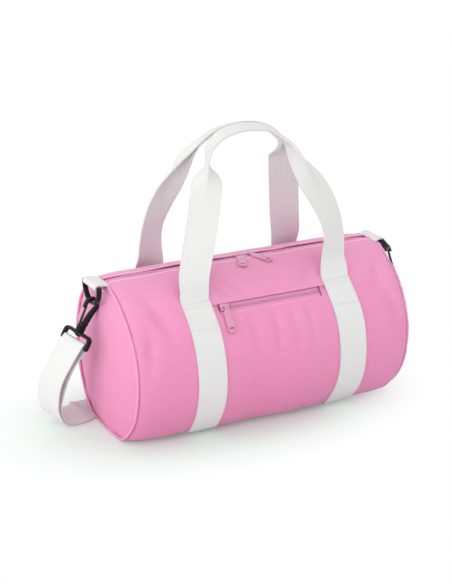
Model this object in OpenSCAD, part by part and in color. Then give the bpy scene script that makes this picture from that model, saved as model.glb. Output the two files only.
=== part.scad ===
// Barrel bag: a round fabric barrel with webbing handles, a zip along its crest,
// a zipped front pocket, and a shoulder strap on two swivel snap hooks.
// +X runs along the barrel to the right, -Y faces the viewer, +Z is up. The origin is on
// the floor under the middle of the barrel.

/* [Barrel] */
// Length between the two end seams
barrel_len = 380; // [320:5:440]
// Radius of the barrel at its middle
barrel_r = 107; // [98:0.5:116]
// How much less the radius is at the two end seams
rim_less = 2.5; // [0:0.5:4]
// Height of the barrel's axis above the floor
axis_h = 91; // [86:0.5:95]
// Length at each end over which the barrel narrows to its seam
taper_len = 40; // [30:1:45]
// Thickness of the bag fabric
fabric_t = 1.6; // [1:0.1:2]
// Half width of the flat that the bag rests on
base_half = 18; // [12:1:24]
// Angle at which the underside lifts away from that flat, in degrees
base_slope = 9; // [8:0.5:11]
// How far the end panels bulge out
end_crown = 4; // [2:0.5:5]
// Radius of the piping round the end panels
piping_r = 1.2; // [0.8:0.1:1.6]
// Depth of the bound seam allowance inside the ends
binding_w = 9; // [6:0.5:12]
// Thickness of the bound seam allowance
binding_t = 1.2; // [0.8:0.1:1.6]

/* [Webbing] */
// Width of all the webbing
webbing_w = 38; // [30:1:40]
// Thickness of the webbing
webbing_t = 1.8; // [1.2:0.1:2]
// Distance of each body strap from the middle of the barrel
strap_x = 98; // [90:1:105]
// Angle above the horizontal at which the handles leave the barrel, in degrees
stitch_angle = 54; // [50:1:58]
// Height of the handles above their stitch lines
handle_rise = 188; // [150:2:220]
// Width of the grip, where the webbing is folded in half
grip_w = 19; // [15:0.5:19]
// Thickness of the folded grip
grip_t = 4.2; // [3.6:0.1:5]
// Gap between the two grips
grip_gap = 1; // [0.6:0.1:2]
// Height of the handle's hinge line above the fabric
hinge_lift = 2; // [1.8:0.1:2.4]
// Distance from the hinge line to the end of the body strap
hinge_space = 3; // [2.6:0.1:4]

/* [Zips] */
// Half width of the opening in the fabric along a zip
zip_half = 5.2; // [4.8:0.1:6]
// Width of one zip tape
tape_w = 14; // [11:0.5:16]
// Thickness of a zip tape
tape_t = 0.7; // [0.5:0.1:0.9]
// Gap between the two tapes and coils
zip_slit = 0.8; // [0.7:0.1:1]
// Width of one coil
coil_w = 2.3; // [1.8:0.1:2.5]
// Height of a coil
coil_h = 1.3; // [1:0.1:1.5]
// Place along the crest where the two main sliders meet
zip_meet_x = 6; // [0:1:20]
// Half length of the pocket zip
pocket_half = 70; // [60:1:74]
// Angle of the pocket zip above the horizontal, in degrees
pocket_angle = 43.5; // [42:0.5:46]
// Depth of the empty pocket
pocket_depth = 6; // [5:0.5:9]
// Angle that the pocket reaches down to, in degrees
pocket_foot_angle = -15; // [-30:1:0]
// Angle of the seam at the foot of the pocket's front panel, in degrees
panel_foot_angle = -42; // [-44:1:-36]

/* [Sliders and pullers] */
// Length of a slider
slider_len = 12; // [10:0.5:13]
// Width of a slider
slider_w = 8.6; // [8:0.1:9.2]
// Thickness of each slider plate
plate_t = 1.2; // [0.9:0.1:1.4]
// Radius of the bar that holds the puller
bar_r = 0.75; // [0.6:0.05:0.9]
// Length of the bar between its two posts
bar_len = 4.8; // [4:0.1:5.4]
// Length of a puller from its bar
puller_len = 34; // [26:1:36]
// Width of a puller
puller_w = 10.5; // [8:0.5:12]
// Thickness of a puller
puller_t = 1.3; // [1:0.1:1.5]

/* [Rings and hooks] */
// Distance of the left ring's bar from the end seam
left_reach = 15; // [13:0.5:18]
// Distance of the right ring's bar from the end seam
right_reach = 10; // [10:0.5:18]
// Swing of the left ring out from hanging straight down, in degrees
left_swing = 0; // [0:1:5]
// Swing of the right ring out from hanging straight down, in degrees
right_swing = 40; // [35:1:45]
// Radius of the ring's bow, at the middle of its wire
ring_r = 21.6; // [21.5:0.1:23]
// Length of the ring's straight legs
ring_leg = 2.5; // [2:0.5:5]
// Radius of the ring's wire
wire_r = 2.2; // [1.8:0.1:2.4]
// Inner radius of the hook's nose
eye_r = 5.2; // [5:0.1:5.8]
// Outer radius of the hook's nose
nose_r = 9.8; // [9:0.1:10.5]
// Thickness of the hook
hook_t = 6.5; // [5.5:0.1:6.8]
// Length from the ring's wire to the top of the swivel collar
hook_len = 30; // [28:0.5:34]
// Radius of the swivel collar
collar_r = 5.6; // [5.2:0.1:6.2]
// Length of the swivel collar
collar_len = 8; // [6:0.5:10]
// Length from the ring's wire to the bar that holds the webbing
loop_len = 52; // [50:0.5:56]
// Lean of the left hook away from the bag, in degrees
left_lean = 28; // [26:1:33]
// Lean of the right hook away from the bag, in degrees
right_lean = 22; // [20:1:26]
// Turn of each hook base on its swivel, in degrees
base_turn = 18; // [10:1:22]

/* [Shoulder strap] */
// How far the strap bows out past the left end seam
left_bow = 68; // [60:1:76]
// How far the strap bows out past the right end seam
right_bow = 60; // [56:1:62]
// How far behind the bag's middle the strap lies
strap_back = 94; // [90:1:104]
// Distance between the strap's two layers where it hangs
return_gap = 8; // [4:0.5:10]
// Length of the strap's adjuster
adjuster_len = 22; // [18:1:26]
// Thickness of the adjuster's bars
adjuster_t = 1.8; // [1.4:0.1:2.2]

/* [Hidden] */

pink = [0.93, 0.6, 0.76];
pale_pink = [0.95, 0.72, 0.83];
white = [0.93, 0.93, 0.92];
black = [0.08, 0.08, 0.09];
$fn = 96;
// Overrun of every cut
over = 1;
// Gap between soft pieces that only lie against each other
rest_gap = 0.3;
// Gap between two layers that are sewn together
sewn_gap = 0.05;
// Clearance of a pin in its bore
pin_fit = 0.07;
half_len = barrel_len / 2;
rim_r = barrel_r - rim_less;
flat_half = half_len - taper_len;
taper_steps = 5;
far = 2 * barrel_r;
skin_r = barrel_r - fabric_t - sewn_gap;

// The barrel's radius a share of the way along its taper
function taper_r(share) = rim_r + (barrel_r - rim_r) * (1 - pow(share, 2));
// Half of the barrel's outline, as places along the axis and radii, sunk by a depth
function half_outline(depth, beyond) = [
    for (i = [0:taper_steps]) [taper_r(i / taper_steps) - depth, flat_half + taper_len * i / taper_steps],
    [rim_r - depth, half_len + beyond]];
function mirrored(list) = [for (i = [len(list) - 1:-1:0]) [list[i][0], -list[i][1]]];

// Turns a profile of radii and places about the barrel's axis
module about_axis() {
    translate([0, 0, axis_h]) rotate([0, 90, 0]) rotate_extrude() children();
}

// The barrel's outline as a solid, sunk by a depth and run on past its ends
module barrel_solid(depth, beyond) {
    side = half_outline(depth, beyond);
    about_axis() polygon(concat([[0, -half_len - beyond]], mirrored(side), side, [[0, half_len + beyond]]));
}

// Everything under the bag's base, raised by some height, between two places along the barrel
module under_base(raise, from, to) {
    rise = (far - base_half) * tan(base_slope);
    translate([from, 0, 0]) rotate([90, 0, 90]) linear_extrude(to - from)
        polygon([[-far, -far], [-far, raise + rise], [-base_half, raise], [base_half, raise],
            [far, raise + rise], [far, -far]]);
}

// A stretch of shell between two radii, two places along the barrel and two angles.
// The angle is 0 at the front and 90 at the crest.
module arc_shell(inner, outer, from, to, low, high) {
    translate([from, 0, axis_h]) rotate([0, 90, 0]) rotate([0, 0, 270 - high])
        rotate_extrude(angle = high - low) translate([inner, 0]) square([outer - inner, to - from]);
}

// A box across the barrel's crest between two places in Y
module crest_box(near, back) {
    translate([-half_len - over, near, axis_h]) cube([barrel_len + 2 * over, back - near, far]);
}

// Where the body straps cross the barrel
strap_places = [-strap_x, strap_x];
zip_angle_half = asin(zip_half / barrel_r);
// How far the pocket's panel reaches under each strap
panel_under_strap = 8;
function arc_angle(length) = length / barrel_r * 180 / PI;

// The whole fabric tube with its two zip openings
module fabric_tube() difference() {
    barrel_solid(0, 0);
    under_base(0, -half_len - over, half_len + over);
    for (x = strap_places) under_base(webbing_t, x - webbing_w / 2, x + webbing_w / 2);
    difference() {
        barrel_solid(fabric_t, over);
        under_base(fabric_t, -half_len - 2 * over, half_len + 2 * over);
        for (x = strap_places)
            under_base(webbing_t + fabric_t, x - webbing_w / 2 - fabric_t, x + webbing_w / 2 + fabric_t);
    }
    crest_box(-zip_half, zip_half);
    arc_shell(barrel_r - fabric_t - over, barrel_r + over, -pocket_half, pocket_half,
        pocket_angle - zip_angle_half, pocket_angle + zip_angle_half);
}
// The panel in front of the pocket is sewn in under the two straps, from the pocket's zip down
panel_half = strap_x - webbing_w / 2 + panel_under_strap;
module panel_space(gap) {
    edge = arc_angle(gap);
    arc_shell(barrel_r - fabric_t - over, barrel_r + over, -panel_half - gap, panel_half + gap,
        panel_foot_angle - edge, pocket_angle + zip_angle_half + edge);
}
module barrel_panel() color(pink) difference() {
    fabric_tube();
    panel_space(sewn_gap);
}
module pocket_panel() color(pink) intersection() {
    fabric_tube();
    panel_space(0);
}

// A bulging disc that closes one end; side is -1 on the left and 1 on the right
crown_steps = 6;
function crown_x(share) = half_len + end_crown * (1 - pow(share, 2));
module end_panel(side) color(pink) difference() {
    about_axis() polygon(concat(
        [for (i = [0:crown_steps]) [rim_r * i / crown_steps, side * crown_x(i / crown_steps)]],
        [for (i = [crown_steps:-1:0])
            [rim_r * i / crown_steps, side * (crown_x(i / crown_steps) + fabric_t)]]));
    under_base(0, -2 * half_len, 2 * half_len);
}

// The bound seam allowance just inside an end seam
module seam_binding(side) color(pale_pink) difference() {
    about_axis() translate([rim_r - fabric_t - sewn_gap - binding_w,
        side > 0 ? half_len - binding_t : -half_len]) square([binding_w, binding_t]);
    under_base(fabric_t + sewn_gap, -2 * half_len, 2 * half_len);
}

// Points of one ring of a tube about a centre, square to the way it runs
tube_sides = 8;
function unit(v) = v / norm(v);
function tube_ring(centre, along, across, r) =
    let (other = unit(cross(along, across)), flat = cross(other, along))
    [for (k = [0:tube_sides - 1]) let (turn = 360 * k / tube_sides)
        centre + r * (cos(turn) * flat + sin(turn) * other)];

// Closes rings of points, each with the same number of points, into one solid
module ring_solid(rings) {
    n = len(rings[0]);
    last = len(rings) - 1;
    sides = [for (i = [0:last - 1]) for (k = [0:n - 1]) let (a = i * n + k, b = i * n + (k + 1) % n)
        each [[a, b + n, b], [a, a + n, b + n]]];
    caps = [for (k = [1:n - 2]) each [[0, k, k + 1], [last * n, last * n + k + 1, last * n + k]]];
    polyhedron(points = [for (r = rings) each r], faces = concat(sides, caps));
}

// Piping along the rim of an end panel, open where the ring's tab crosses it
piping_steps = 44;
piping_path_r = rim_r - piping_r;
tab_half = webbing_w / 2;
piping_gap_angle = asin((tab_half + rest_gap + piping_r) / piping_path_r);
function piping_point(side, angle) = let (y = -piping_path_r * cos(angle),
        base = piping_r + rest_gap + max(0, abs(y) - base_half) * tan(base_slope),
        z = max(axis_h + piping_path_r * sin(angle), base))
    [side * (crown_x(norm([y, z - axis_h]) / rim_r) + fabric_t + piping_r + rest_gap), y, z];
module piping(side) {
    from = 90 + piping_gap_angle;
    turn = 360 - 2 * piping_gap_angle;
    path = [for (i = [0:piping_steps]) piping_point(side, from + turn * i / piping_steps)];
    color(pale_pink) ring_solid([for (i = [0:piping_steps])
        tube_ring(path[i], unit(path[min(i + 1, piping_steps)] - path[max(i - 1, 0)]), [1, 0, 0], piping_r)]);
}

// Main zip: tapes under the fabric's edges and coils under the tapes
module main_tape(near, back) color(pink) intersection() {
    difference() {
        barrel_solid(fabric_t + sewn_gap, 0);
        barrel_solid(fabric_t + sewn_gap + tape_t, over);
    }
    crest_box(near, back);
    cut_to_binding();
}
module main_coil(near, back) color(pale_pink) intersection() {
    difference() {
        barrel_solid(fabric_t + 2 * sewn_gap + tape_t, 0);
        barrel_solid(fabric_t + 2 * sewn_gap + tape_t + coil_h, over);
    }
    crest_box(near, back);
    cut_to_binding();
}
// Keeps what lies between the two seam bindings
module cut_to_binding() {
    translate([-half_len + binding_t, -far, 0]) cube([barrel_len - 2 * binding_t, 2 * far, 2 * far]);
}

// Pocket zip: tapes behind the fabric's edges, coils on top of them
tape_reach = zip_half + 3 * fabric_t;
pocket_tape_over = 3;
module pocket_tape(low, high) {
    color(pink) arc_shell(skin_r - tape_t, skin_r,
        -pocket_half - pocket_tape_over, pocket_half + pocket_tape_over,
        pocket_angle + low, pocket_angle + high);
}
module pocket_coil(low, high) {
    color(pale_pink) arc_shell(skin_r + sewn_gap, skin_r + sewn_gap + coil_h,
        -pocket_half, pocket_half, pocket_angle + low, pocket_angle + high);
}
slit_angle = arc_angle(zip_slit / 2);
coil_angle = arc_angle(zip_slit / 2 + coil_w);
tape_angle = arc_angle(tape_reach);

// The pocket's bag, hung behind the front of the barrel
lining_t = 0.8;
lining_half = pocket_half + pocket_tape_over + 2 * lining_t;
module pocket_lining() color(pale_pink) {
    edge = arc_angle(2 * lining_t);
    difference() {
        arc_shell(skin_r - pocket_depth - lining_t, skin_r, -lining_half, lining_half,
            pocket_foot_angle - edge, pocket_angle + tape_angle + edge);
        arc_shell(skin_r - pocket_depth, skin_r + over, -lining_half + lining_t, lining_half - lining_t,
            pocket_foot_angle, pocket_angle + tape_angle + edge / 2);
    }
}

// Webbing that runs under the barrel from one stitch line to the other. A thin sewn tongue at
// each end reaches under the foot of the handle.
strap_cut_angle = stitch_angle - arc_angle(hinge_space);
tongue_t = hinge_lift - webbing_t / 2 - rest_gap - sewn_gap;
tongue_over = 1.2;
tongue_angle = stitch_angle + arc_angle(tongue_over);
// Everything between two places along the barrel that lies above an angle on both sides
module above_angle(from, to, angle) {
    translate([from, 0, axis_h]) rotate([90, 0, 90]) linear_extrude(to - from)
        polygon([[0, 0], [far * cos(angle), far * sin(angle)], [0, 2 * far],
            [-far * cos(angle), far * sin(angle)]]);
}
module strap_drum(x, r, beyond) {
    translate([x - webbing_w / 2 - beyond, 0, axis_h]) rotate([0, 90, 0])
        cylinder(r = r, h = webbing_w + 2 * beyond);
}
module body_strap(x) color(white) difference() {
    strap_drum(x, barrel_r + sewn_gap + webbing_t, 0);
    under_base(0, -half_len, half_len);
    difference() {
        strap_drum(x, barrel_r + sewn_gap, over);
        under_base(webbing_t, -half_len, half_len);
    }
    above_angle(x - webbing_w, x + webbing_w, tongue_angle);
    difference() {
        above_angle(x - webbing_w, x + webbing_w, strap_cut_angle);
        strap_drum(x, barrel_r + tongue_t, webbing_w);
    }
}

// Handle: webbing that leaves one stitch line, folds in half for the grip and comes back down.
// Each row is the share of strap_x, the share of the way from the grip to the hinge line in Y,
// the share of handle_rise, the direction across the webbing, and how far it is folded.
hinge_y = -(barrel_r + hinge_lift) * cos(stitch_angle);
hinge_z = axis_h + (barrel_r + hinge_lift) * sin(stitch_angle);
grip_y = -(grip_w + grip_gap) / 2;
front_shares = [
    [-1.01, 1.00, 0.00, 1.00, 0.00, 0.00, 0], [-0.97, 0.89, 0.10, 0.97, -0.20, -0.10, 0],
    [-0.84, 0.66, 0.29, 0.88, -0.42, -0.20, 0], [-0.70, 0.45, 0.53, 0.88, -0.43, -0.18, 0],
    [-0.61, 0.28, 0.71, 0.90, -0.42, -0.10, 0], [-0.58, 0.20, 0.79, 0.90, -0.43, 0.00, 0],
    [-0.545, 0.12, 0.85, 0.90, -0.35, -0.15, 0.4], [-0.50, 0.04, 0.895, 0.85, -0.15, -0.40, 0.92],
    [-0.38, 0.00, 0.955, 0.62, 0.00, -0.78, 1], [-0.13, 0.00, 1.00, 0.15, 0.00, -0.99, 1],
    [0.12, 0.00, 1.00, -0.08, 0.00, -1.00, 1], [0.36, 0.00, 0.97, -0.40, 0.00, -0.90, 1],
    [0.53, 0.03, 0.91, -0.68, 0.00, -0.70, 0.97], [0.61, 0.09, 0.865, -0.80, -0.10, -0.50, 0.78],
    [0.70, 0.20, 0.78, -0.85, -0.30, -0.40, 0.3], [0.80, 0.30, 0.68, -0.87, -0.30, -0.35, 0],
    [0.90, 0.39, 0.58, -0.87, -0.28, -0.38, 0], [1.02, 0.52, 0.45, -0.90, -0.30, -0.28, 0],
    [1.09, 0.63, 0.33, -0.93, -0.35, -0.05, 0], [1.10, 0.74, 0.22, -0.94, -0.33, 0.10, 0],
    [1.05, 0.87, 0.10, -0.97, -0.20, 0.10, 0], [1.01, 1.00, 0.00, -1.00, 0.00, 0.00, 0]];
// The back handle, as seen from behind the bag
back_shares = [
    [-1.03, 1.00, 0.00, 1.00, 0.00, 0.00, 0], [-1.00, 0.89, 0.10, 0.97, -0.20, -0.10, 0],
    [-0.92, 0.68, 0.26, 0.90, -0.40, -0.15, 0], [-0.84, 0.47, 0.46, 0.89, -0.42, -0.12, 0],
    [-0.77, 0.28, 0.64, 0.90, -0.42, -0.08, 0], [-0.745, 0.20, 0.72, 0.90, -0.43, 0.00, 0],
    [-0.71, 0.12, 0.79, 0.90, -0.35, -0.15, 0.4], [-0.65, 0.04, 0.85, 0.85, -0.15, -0.40, 0.92],
    [-0.50, 0.00, 0.93, 0.62, 0.00, -0.78, 1], [-0.19, 0.00, 1.00, 0.15, 0.00, -0.99, 1],
    [0.10, 0.00, 1.00, -0.08, 0.00, -1.00, 1], [0.34, 0.00, 0.97, -0.40, 0.00, -0.90, 1],
    [0.53, 0.03, 0.91, -0.68, 0.00, -0.70, 0.97], [0.62, 0.09, 0.865, -0.80, -0.10, -0.50, 0.78],
    [0.72, 0.20, 0.79, -0.85, -0.30, -0.40, 0.3], [0.80, 0.30, 0.69, -0.87, -0.30, -0.35, 0],
    [0.88, 0.41, 0.58, -0.87, -0.28, -0.38, 0], [0.97, 0.52, 0.46, -0.90, -0.30, -0.28, 0],
    [1.03, 0.63, 0.34, -0.93, -0.35, -0.05, 0], [1.04, 0.75, 0.22, -0.94, -0.33, 0.10, 0],
    [1.02, 0.87, 0.10, -0.97, -0.20, 0.10, 0], [0.99, 1.00, 0.00, -1.00, 0.00, 0.00, 0]];
function handle_key(s) = [s[0] * strap_x, grip_y + s[1] * (hinge_y - grip_y), hinge_z + s[2] * handle_rise,
    s[3], s[4], s[5], webbing_w + s[6] * (grip_t - webbing_w), webbing_t + s[6] * (grip_w - webbing_t)];

// A smooth curve through keys, and a webbing solid along it. A key is a point, the direction
// across the webbing, its width and its thickness.
function smooth(a, b, c, d, t) =
    b + t / 2 * ((c - a) + t * ((2 * a - 5 * b + 4 * c - d) + t * (3 * b - a - 3 * c + d)));
function at(list, i) = list[max(0, min(len(list) - 1, i))];
function curve(list, steps) = [for (i = [0:len(list) - 2]) for (k = [0:steps - 1])
    smooth(at(list, i - 1), list[i], list[i + 1], at(list, i + 2), k / steps), list[len(list) - 1]];
function place(key) = [key[0], key[1], key[2]];
function webbing_ring(keys, i) = let (key = keys[i], centre = place(key),
        along = unit(place(at(keys, i + 1)) - place(at(keys, i - 1))),
        across = unit([key[3], key[4], key[5]]), out = unit(cross(along, across)),
        w = across * key[6] / 2, t = out * key[7] / 2)
    [centre + w + t, centre - w + t, centre - w - t, centre + w - t];
module webbing(keys) {
    ring_solid([for (i = [0:len(keys) - 1]) webbing_ring(keys, i)]);
}
module handle(shares) {
    color(white) webbing(curve([for (s = shares) handle_key(s)], 2));
}

// Ring tab: a loop of webbing round the ring's bar, sewn into the top of an end seam
ring_bar_less = 0.2;
ring_bar_r = wire_r - ring_bar_less;
tab_inner = ring_bar_r + rest_gap;
tab_outer = tab_inner + webbing_t;
function reach(side) = side < 0 ? left_reach : right_reach;
function ring_x(side) = half_len + reach(side);
ring_z = axis_h + rim_r + rest_gap - tab_inner;
// The lower layer stops at the end panel, which bulges a little below the seam
function tab_reach(side) = reach(side) - fabric_t - rest_gap
    - end_crown * (1 - pow((ring_z - tab_outer - axis_h) / rim_r, 2));
module ring_tab(side) color(white) translate([side * ring_x(side), tab_half, ring_z]) rotate([90, 0, 0])
    linear_extrude(webbing_w) difference() {
        union() {
            circle(r = tab_outer);
            translate([side > 0 ? -reach(side) : 0, tab_inner]) square([reach(side), webbing_t]);
            translate([side > 0 ? -tab_reach(side) : 0, -tab_outer]) square([tab_reach(side), webbing_t]);
        }
        circle(r = tab_inner);
        translate([side > 0 ? -reach(side) - over : 0, -tab_inner])
            square([reach(side) + over, 2 * tab_inner]);
    }

// D-ring that hangs from a tab by its bar
knuckle_share = 1.2;
knuckle_r = wire_r * knuckle_share;
function swing(side) = side < 0 ? left_swing : right_swing;
module upright_ring() {
    rotate([90, 0, 0]) cylinder(r = ring_bar_r, h = 2 * ring_r, center = true);
    for (y = [-ring_r, ring_r]) {
        translate([0, y, 0]) sphere(r = knuckle_r);
        translate([0, y, -ring_leg]) cylinder(r = wire_r, h = ring_leg);
    }
    translate([0, 0, -ring_leg]) rotate([0, 90, 0]) rotate([0, 0, -90])
        rotate_extrude(angle = 180) translate([ring_r, 0]) circle(r = wire_r);
}
module ring(side) {
    color(black) translate([side * ring_x(side), 0, ring_z]) rotate([0, -side * swing(side), 0])
        upright_ring();
}

// Snap hook, drawn upright: x points to the bag, and z runs up from the ring's wire.
// The shank's corners are shares of collar_r and hook_len.
nose_drop = 2;
nose_tip_t = 2.8;
nose_tip_len = 6;
shank_shares = [[1.2, -0.62], [1, -1], [-1, -1], [-1, -0.955], [-0.45, -0.955], [-0.2, -0.9],
    [-0.02, -0.6]];
swivel_r = 2.4;
swivel_head_r = 3.8;
swivel_head_t = 1.6;
arm_h = 4.2;
arm_gap = 0.3;
collar_foot = hook_len + collar_len;
swivel_foot = collar_foot + arm_h + 2 * arm_gap;
module hook_body() {
    rotate([90, 0, 0]) linear_extrude(hook_t, center = true) {
        translate([0, -nose_drop]) intersection() {
            difference() {
                circle(r = nose_r);
                circle(r = eye_r);
            }
            translate([-far, 0]) square([2 * far, far]);
        }
        polygon(concat([[eye_r, -nose_drop], [nose_r, -nose_drop]],
            [for (s = shank_shares) [s[0] * collar_r, s[1] * hook_len]]));
        translate([-nose_r, -nose_drop - nose_tip_len]) square([nose_tip_t, nose_tip_len]);
        translate([-nose_r + nose_tip_t / 2, -nose_drop - nose_tip_len]) circle(d = nose_tip_t);
    }
    translate([0, 0, -collar_foot]) cylinder(r = collar_r, h = collar_len);
    translate([0, 0, -swivel_foot]) cylinder(r = swivel_r, h = swivel_foot - collar_foot);
    translate([0, 0, -swivel_foot - swivel_head_t]) cylinder(r = swivel_head_r, h = swivel_head_t);
}

// Sprung gate that closes the hook; it turns inwards about its foot
gate_t = 1.5;
gate_w = 4.5;
gate_foot_r = 1.2;
gate_reach_share = 0.6;
gate_foot_x = -collar_r + gate_foot_r;
gate_foot_z = shank_shares[3][1] * hook_len + rest_gap + gate_foot_r;
gate_tip_x = -nose_r + nose_tip_t + rest_gap + gate_t / 2;
gate_tip_z = -nose_drop - nose_tip_len * gate_reach_share;
module hook_gate() rotate([90, 0, 0]) linear_extrude(gate_w, center = true) {
    polygon([[gate_foot_x - gate_t / 2, gate_foot_z], [gate_foot_x + gate_t / 2, gate_foot_z],
        [gate_tip_x + gate_t / 2, gate_tip_z], [gate_tip_x - gate_t / 2, gate_tip_z]]);
    translate([gate_foot_x, gate_foot_z]) circle(r = gate_foot_r);
    translate([gate_tip_x, gate_tip_z]) circle(d = gate_t);
}

// Base that the webbing loops through and the hook swivels in
horn_t = 3.5;
horn_r = 3.6;
loop_bar_r = 2;
base_play = 1.2;
base_boss = 0.9;
base_side = webbing_w / 2 + base_play;
module hook_base() {
    arm_top = -collar_foot - arm_gap;
    difference() {
        union() {
            translate([-horn_r, -base_side - horn_t, arm_top - arm_h])
                cube([2 * horn_r, 2 * (base_side + horn_t), arm_h]);
            translate([0, 0, arm_top - arm_h]) cylinder(r = collar_r + base_boss, h = arm_h);
        }
        translate([0, 0, arm_top - arm_h - over]) cylinder(r = swivel_r + pin_fit, h = arm_h + 2 * over);
    }
    for (y = [-base_side - horn_t, base_side]) translate([0, y, -loop_len]) {
        rotate([-90, 0, 0]) cylinder(r = horn_r, h = horn_t);
        translate([-horn_r, 0, 0]) cube([2 * horn_r, horn_t, loop_len + arm_top]);
    }
    translate([0, 0, -loop_len]) rotate([90, 0, 0])
        cylinder(r = loop_bar_r, h = 2 * base_side, center = true);
}

// Puts an upright hook part at one side, leaning away from the bag
function wire_x(side) = ring_x(side) + (ring_leg + ring_r) * sin(swing(side));
function wire_z(side) = ring_z - (ring_leg + ring_r) * cos(swing(side));
function lean(side) = side < 0 ? left_lean : right_lean;
module at_hook(side) {
    mirror([side > 0 ? 1 : 0, 0, 0]) translate([-wire_x(side), 0, wire_z(side)])
        rotate([0, lean(side), 0]) children();
}

// A point given in the hook base's own directions, in the bag's directions
function base_x(side) =
    [-side * cos(base_turn) * cos(lean(side)), sin(base_turn), -cos(base_turn) * sin(lean(side))];
function base_y(side) =
    [side * sin(base_turn) * cos(lean(side)), cos(base_turn), sin(base_turn) * sin(lean(side))];
function base_z(side) = [-side * sin(lean(side)), 0, cos(lean(side))];
function at_base(side, x, z) = [side * wire_x(side), 0, wire_z(side)] + x * base_x(side) + z * base_z(side);

// Shoulder strap. It comes back from behind the bag as the inner of two layers, loops over the
// left base's bar, bows down to the floor, runs behind the bag and up to the right base's bar,
// and is sewn to itself there.
loop_r = loop_bar_r + rest_gap + webbing_t / 2;
function loop_key(side, turn) = concat(at_base(side, loop_r * cos(turn), -loop_len + loop_r * sin(turn)),
    base_y(side), [webbing_w, webbing_t]);
function loop_keys(side) = [for (turn = [0:45:180]) loop_key(side, turn)];
// Rows from the bar to the foot of the end panel: share of the bow past the end seam, share of
// strap_back, share of the bar's height, and the direction across the webbing
left_drop_shares = [
    [0.82, 0.045, 0.82, -0.27, 0.95, 0.12], [0.975, 0.12, 0.60, -0.27, 0.955, 0.00],
    [1.00, 0.22, 0.40, -0.28, 0.95, -0.10], [0.95, 0.30, 0.225, -0.25, 0.96, -0.05],
    [0.82, 0.365, 0.105, -0.20, 0.97, 0.05], [0.66, 0.405, 0.05, -0.10, 0.98, 0.12],
    [0.47, 0.43, 0, 0.05, 0.96, 0.24], [0.27, 0.46, 0, 0.14, 0.94, 0.28],
    [0.12, 0.545, 0, -0.08, 0.96, 0.21]];
right_drop_shares = [
    [0.88, 0.03, 0.82, 0.28, 0.95, 0.12], [1.00, 0.12, 0.60, 0.22, 0.97, 0.00],
    [0.99, 0.24, 0.38, 0.18, 0.98, -0.08], [0.88, 0.34, 0.20, 0.15, 0.98, -0.02],
    [0.68, 0.42, 0.09, 0.10, 0.98, 0.08], [0.45, 0.47, 0.045, 0.00, 0.97, 0.16],
    [0.24, 0.51, 0, -0.05, 0.96, 0.20], [0.08, 0.58, 0, 0.05, 0.96, 0.18]];
// How far the inner layer stands off in each of those rows, as a share of return_gap
left_return_shares = [0.85, 1, 0.8, 0.45, 0.3, 0.27, 0.27, 0.27, 0.27];
right_return_shares = [0.6, 0.27];
// Rows along the floor under the bag's back: share of half_len, share of strap_back, direction
// across the webbing, and how far it is lifted by the adjuster
floor_shares = [
    [-0.965, 0.66, -0.20, 0.97, 0.12, 0], [-0.86, 0.74, -0.18, 0.98, 0.06, 0],
    [-0.72, 0.84, -0.14, 0.99, 0.02, 0],
    [-0.56, 0.93, -0.10, 0.99, 0, 0.5], [-0.42, 1, 0, 1, 0, 1], [-0.28, 1, 0, 1, 0, 1], [0, 1, 0, 1, 0, 1],
    [0.28, 1, 0, 1, 0, 1], [0.42, 1, 0, 1, 0, 1], [0.56, 0.93, 0.10, 0.99, 0, 0.5],
    [0.72, 0.84, 0.14, 0.99, 0.02, 0], [0.86, 0.74, 0.18, 0.98, 0.06, 0], [0.965, 0.66, 0.18, 0.97, 0.12, 0]];
floor_gap = 0.1;
adjuster_lift = adjuster_t + rest_gap + floor_gap;
function bar_height(side) = at_base(side, 0, -loop_len)[2];
// Height of the strap's middle line where its lower edge lies on the floor
function floor_z(tilt) = floor_gap + webbing_t / 2 + abs(tilt) * webbing_w / 2;
function drop_key(side, s, bow) = [side * (half_len + s[0] * bow), s[1] * strap_back,
    max(s[2] * bar_height(side), floor_z(s[5])), s[3], s[4], s[5], webbing_w, webbing_t];
function floor_key(s) = [s[0] * half_len, s[1] * strap_back, floor_z(s[4]) + s[5] * adjuster_lift,
    s[2], s[3], s[4], webbing_w, webbing_t];
function reversed(list) = [for (i = [len(list) - 1:-1:0]) list[i]];
// A key moved off a layer of webbing towards the bag
function inner_key(side, keys, i, gap) =
    let (key = keys[i], along = place(at(keys, i + 1)) - place(at(keys, i - 1)),
        moved = place(key) - side * gap * unit(cross(along, [key[3], key[4], key[5]])))
    [moved[0], moved[1], moved[2], key[3], key[4], key[5], key[6], key[7]];
function return_keys(side, keys, shares) = [for (i = [0:len(shares) - 1])
    inner_key(side, keys, i, shares[i] * return_gap)];
module shoulder_strap() {
    left = [for (s = left_drop_shares) drop_key(-1, s, left_bow)];
    right = [for (s = right_drop_shares) drop_key(1, s, right_bow)];
    color(white) webbing(curve(concat(
        reversed(return_keys(-1, left, left_return_shares)), loop_keys(-1), left,
        [for (s = floor_shares) floor_key(s)], reversed(right), reversed(loop_keys(1)),
        return_keys(1, right, right_return_shares)), 2));
}

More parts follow.
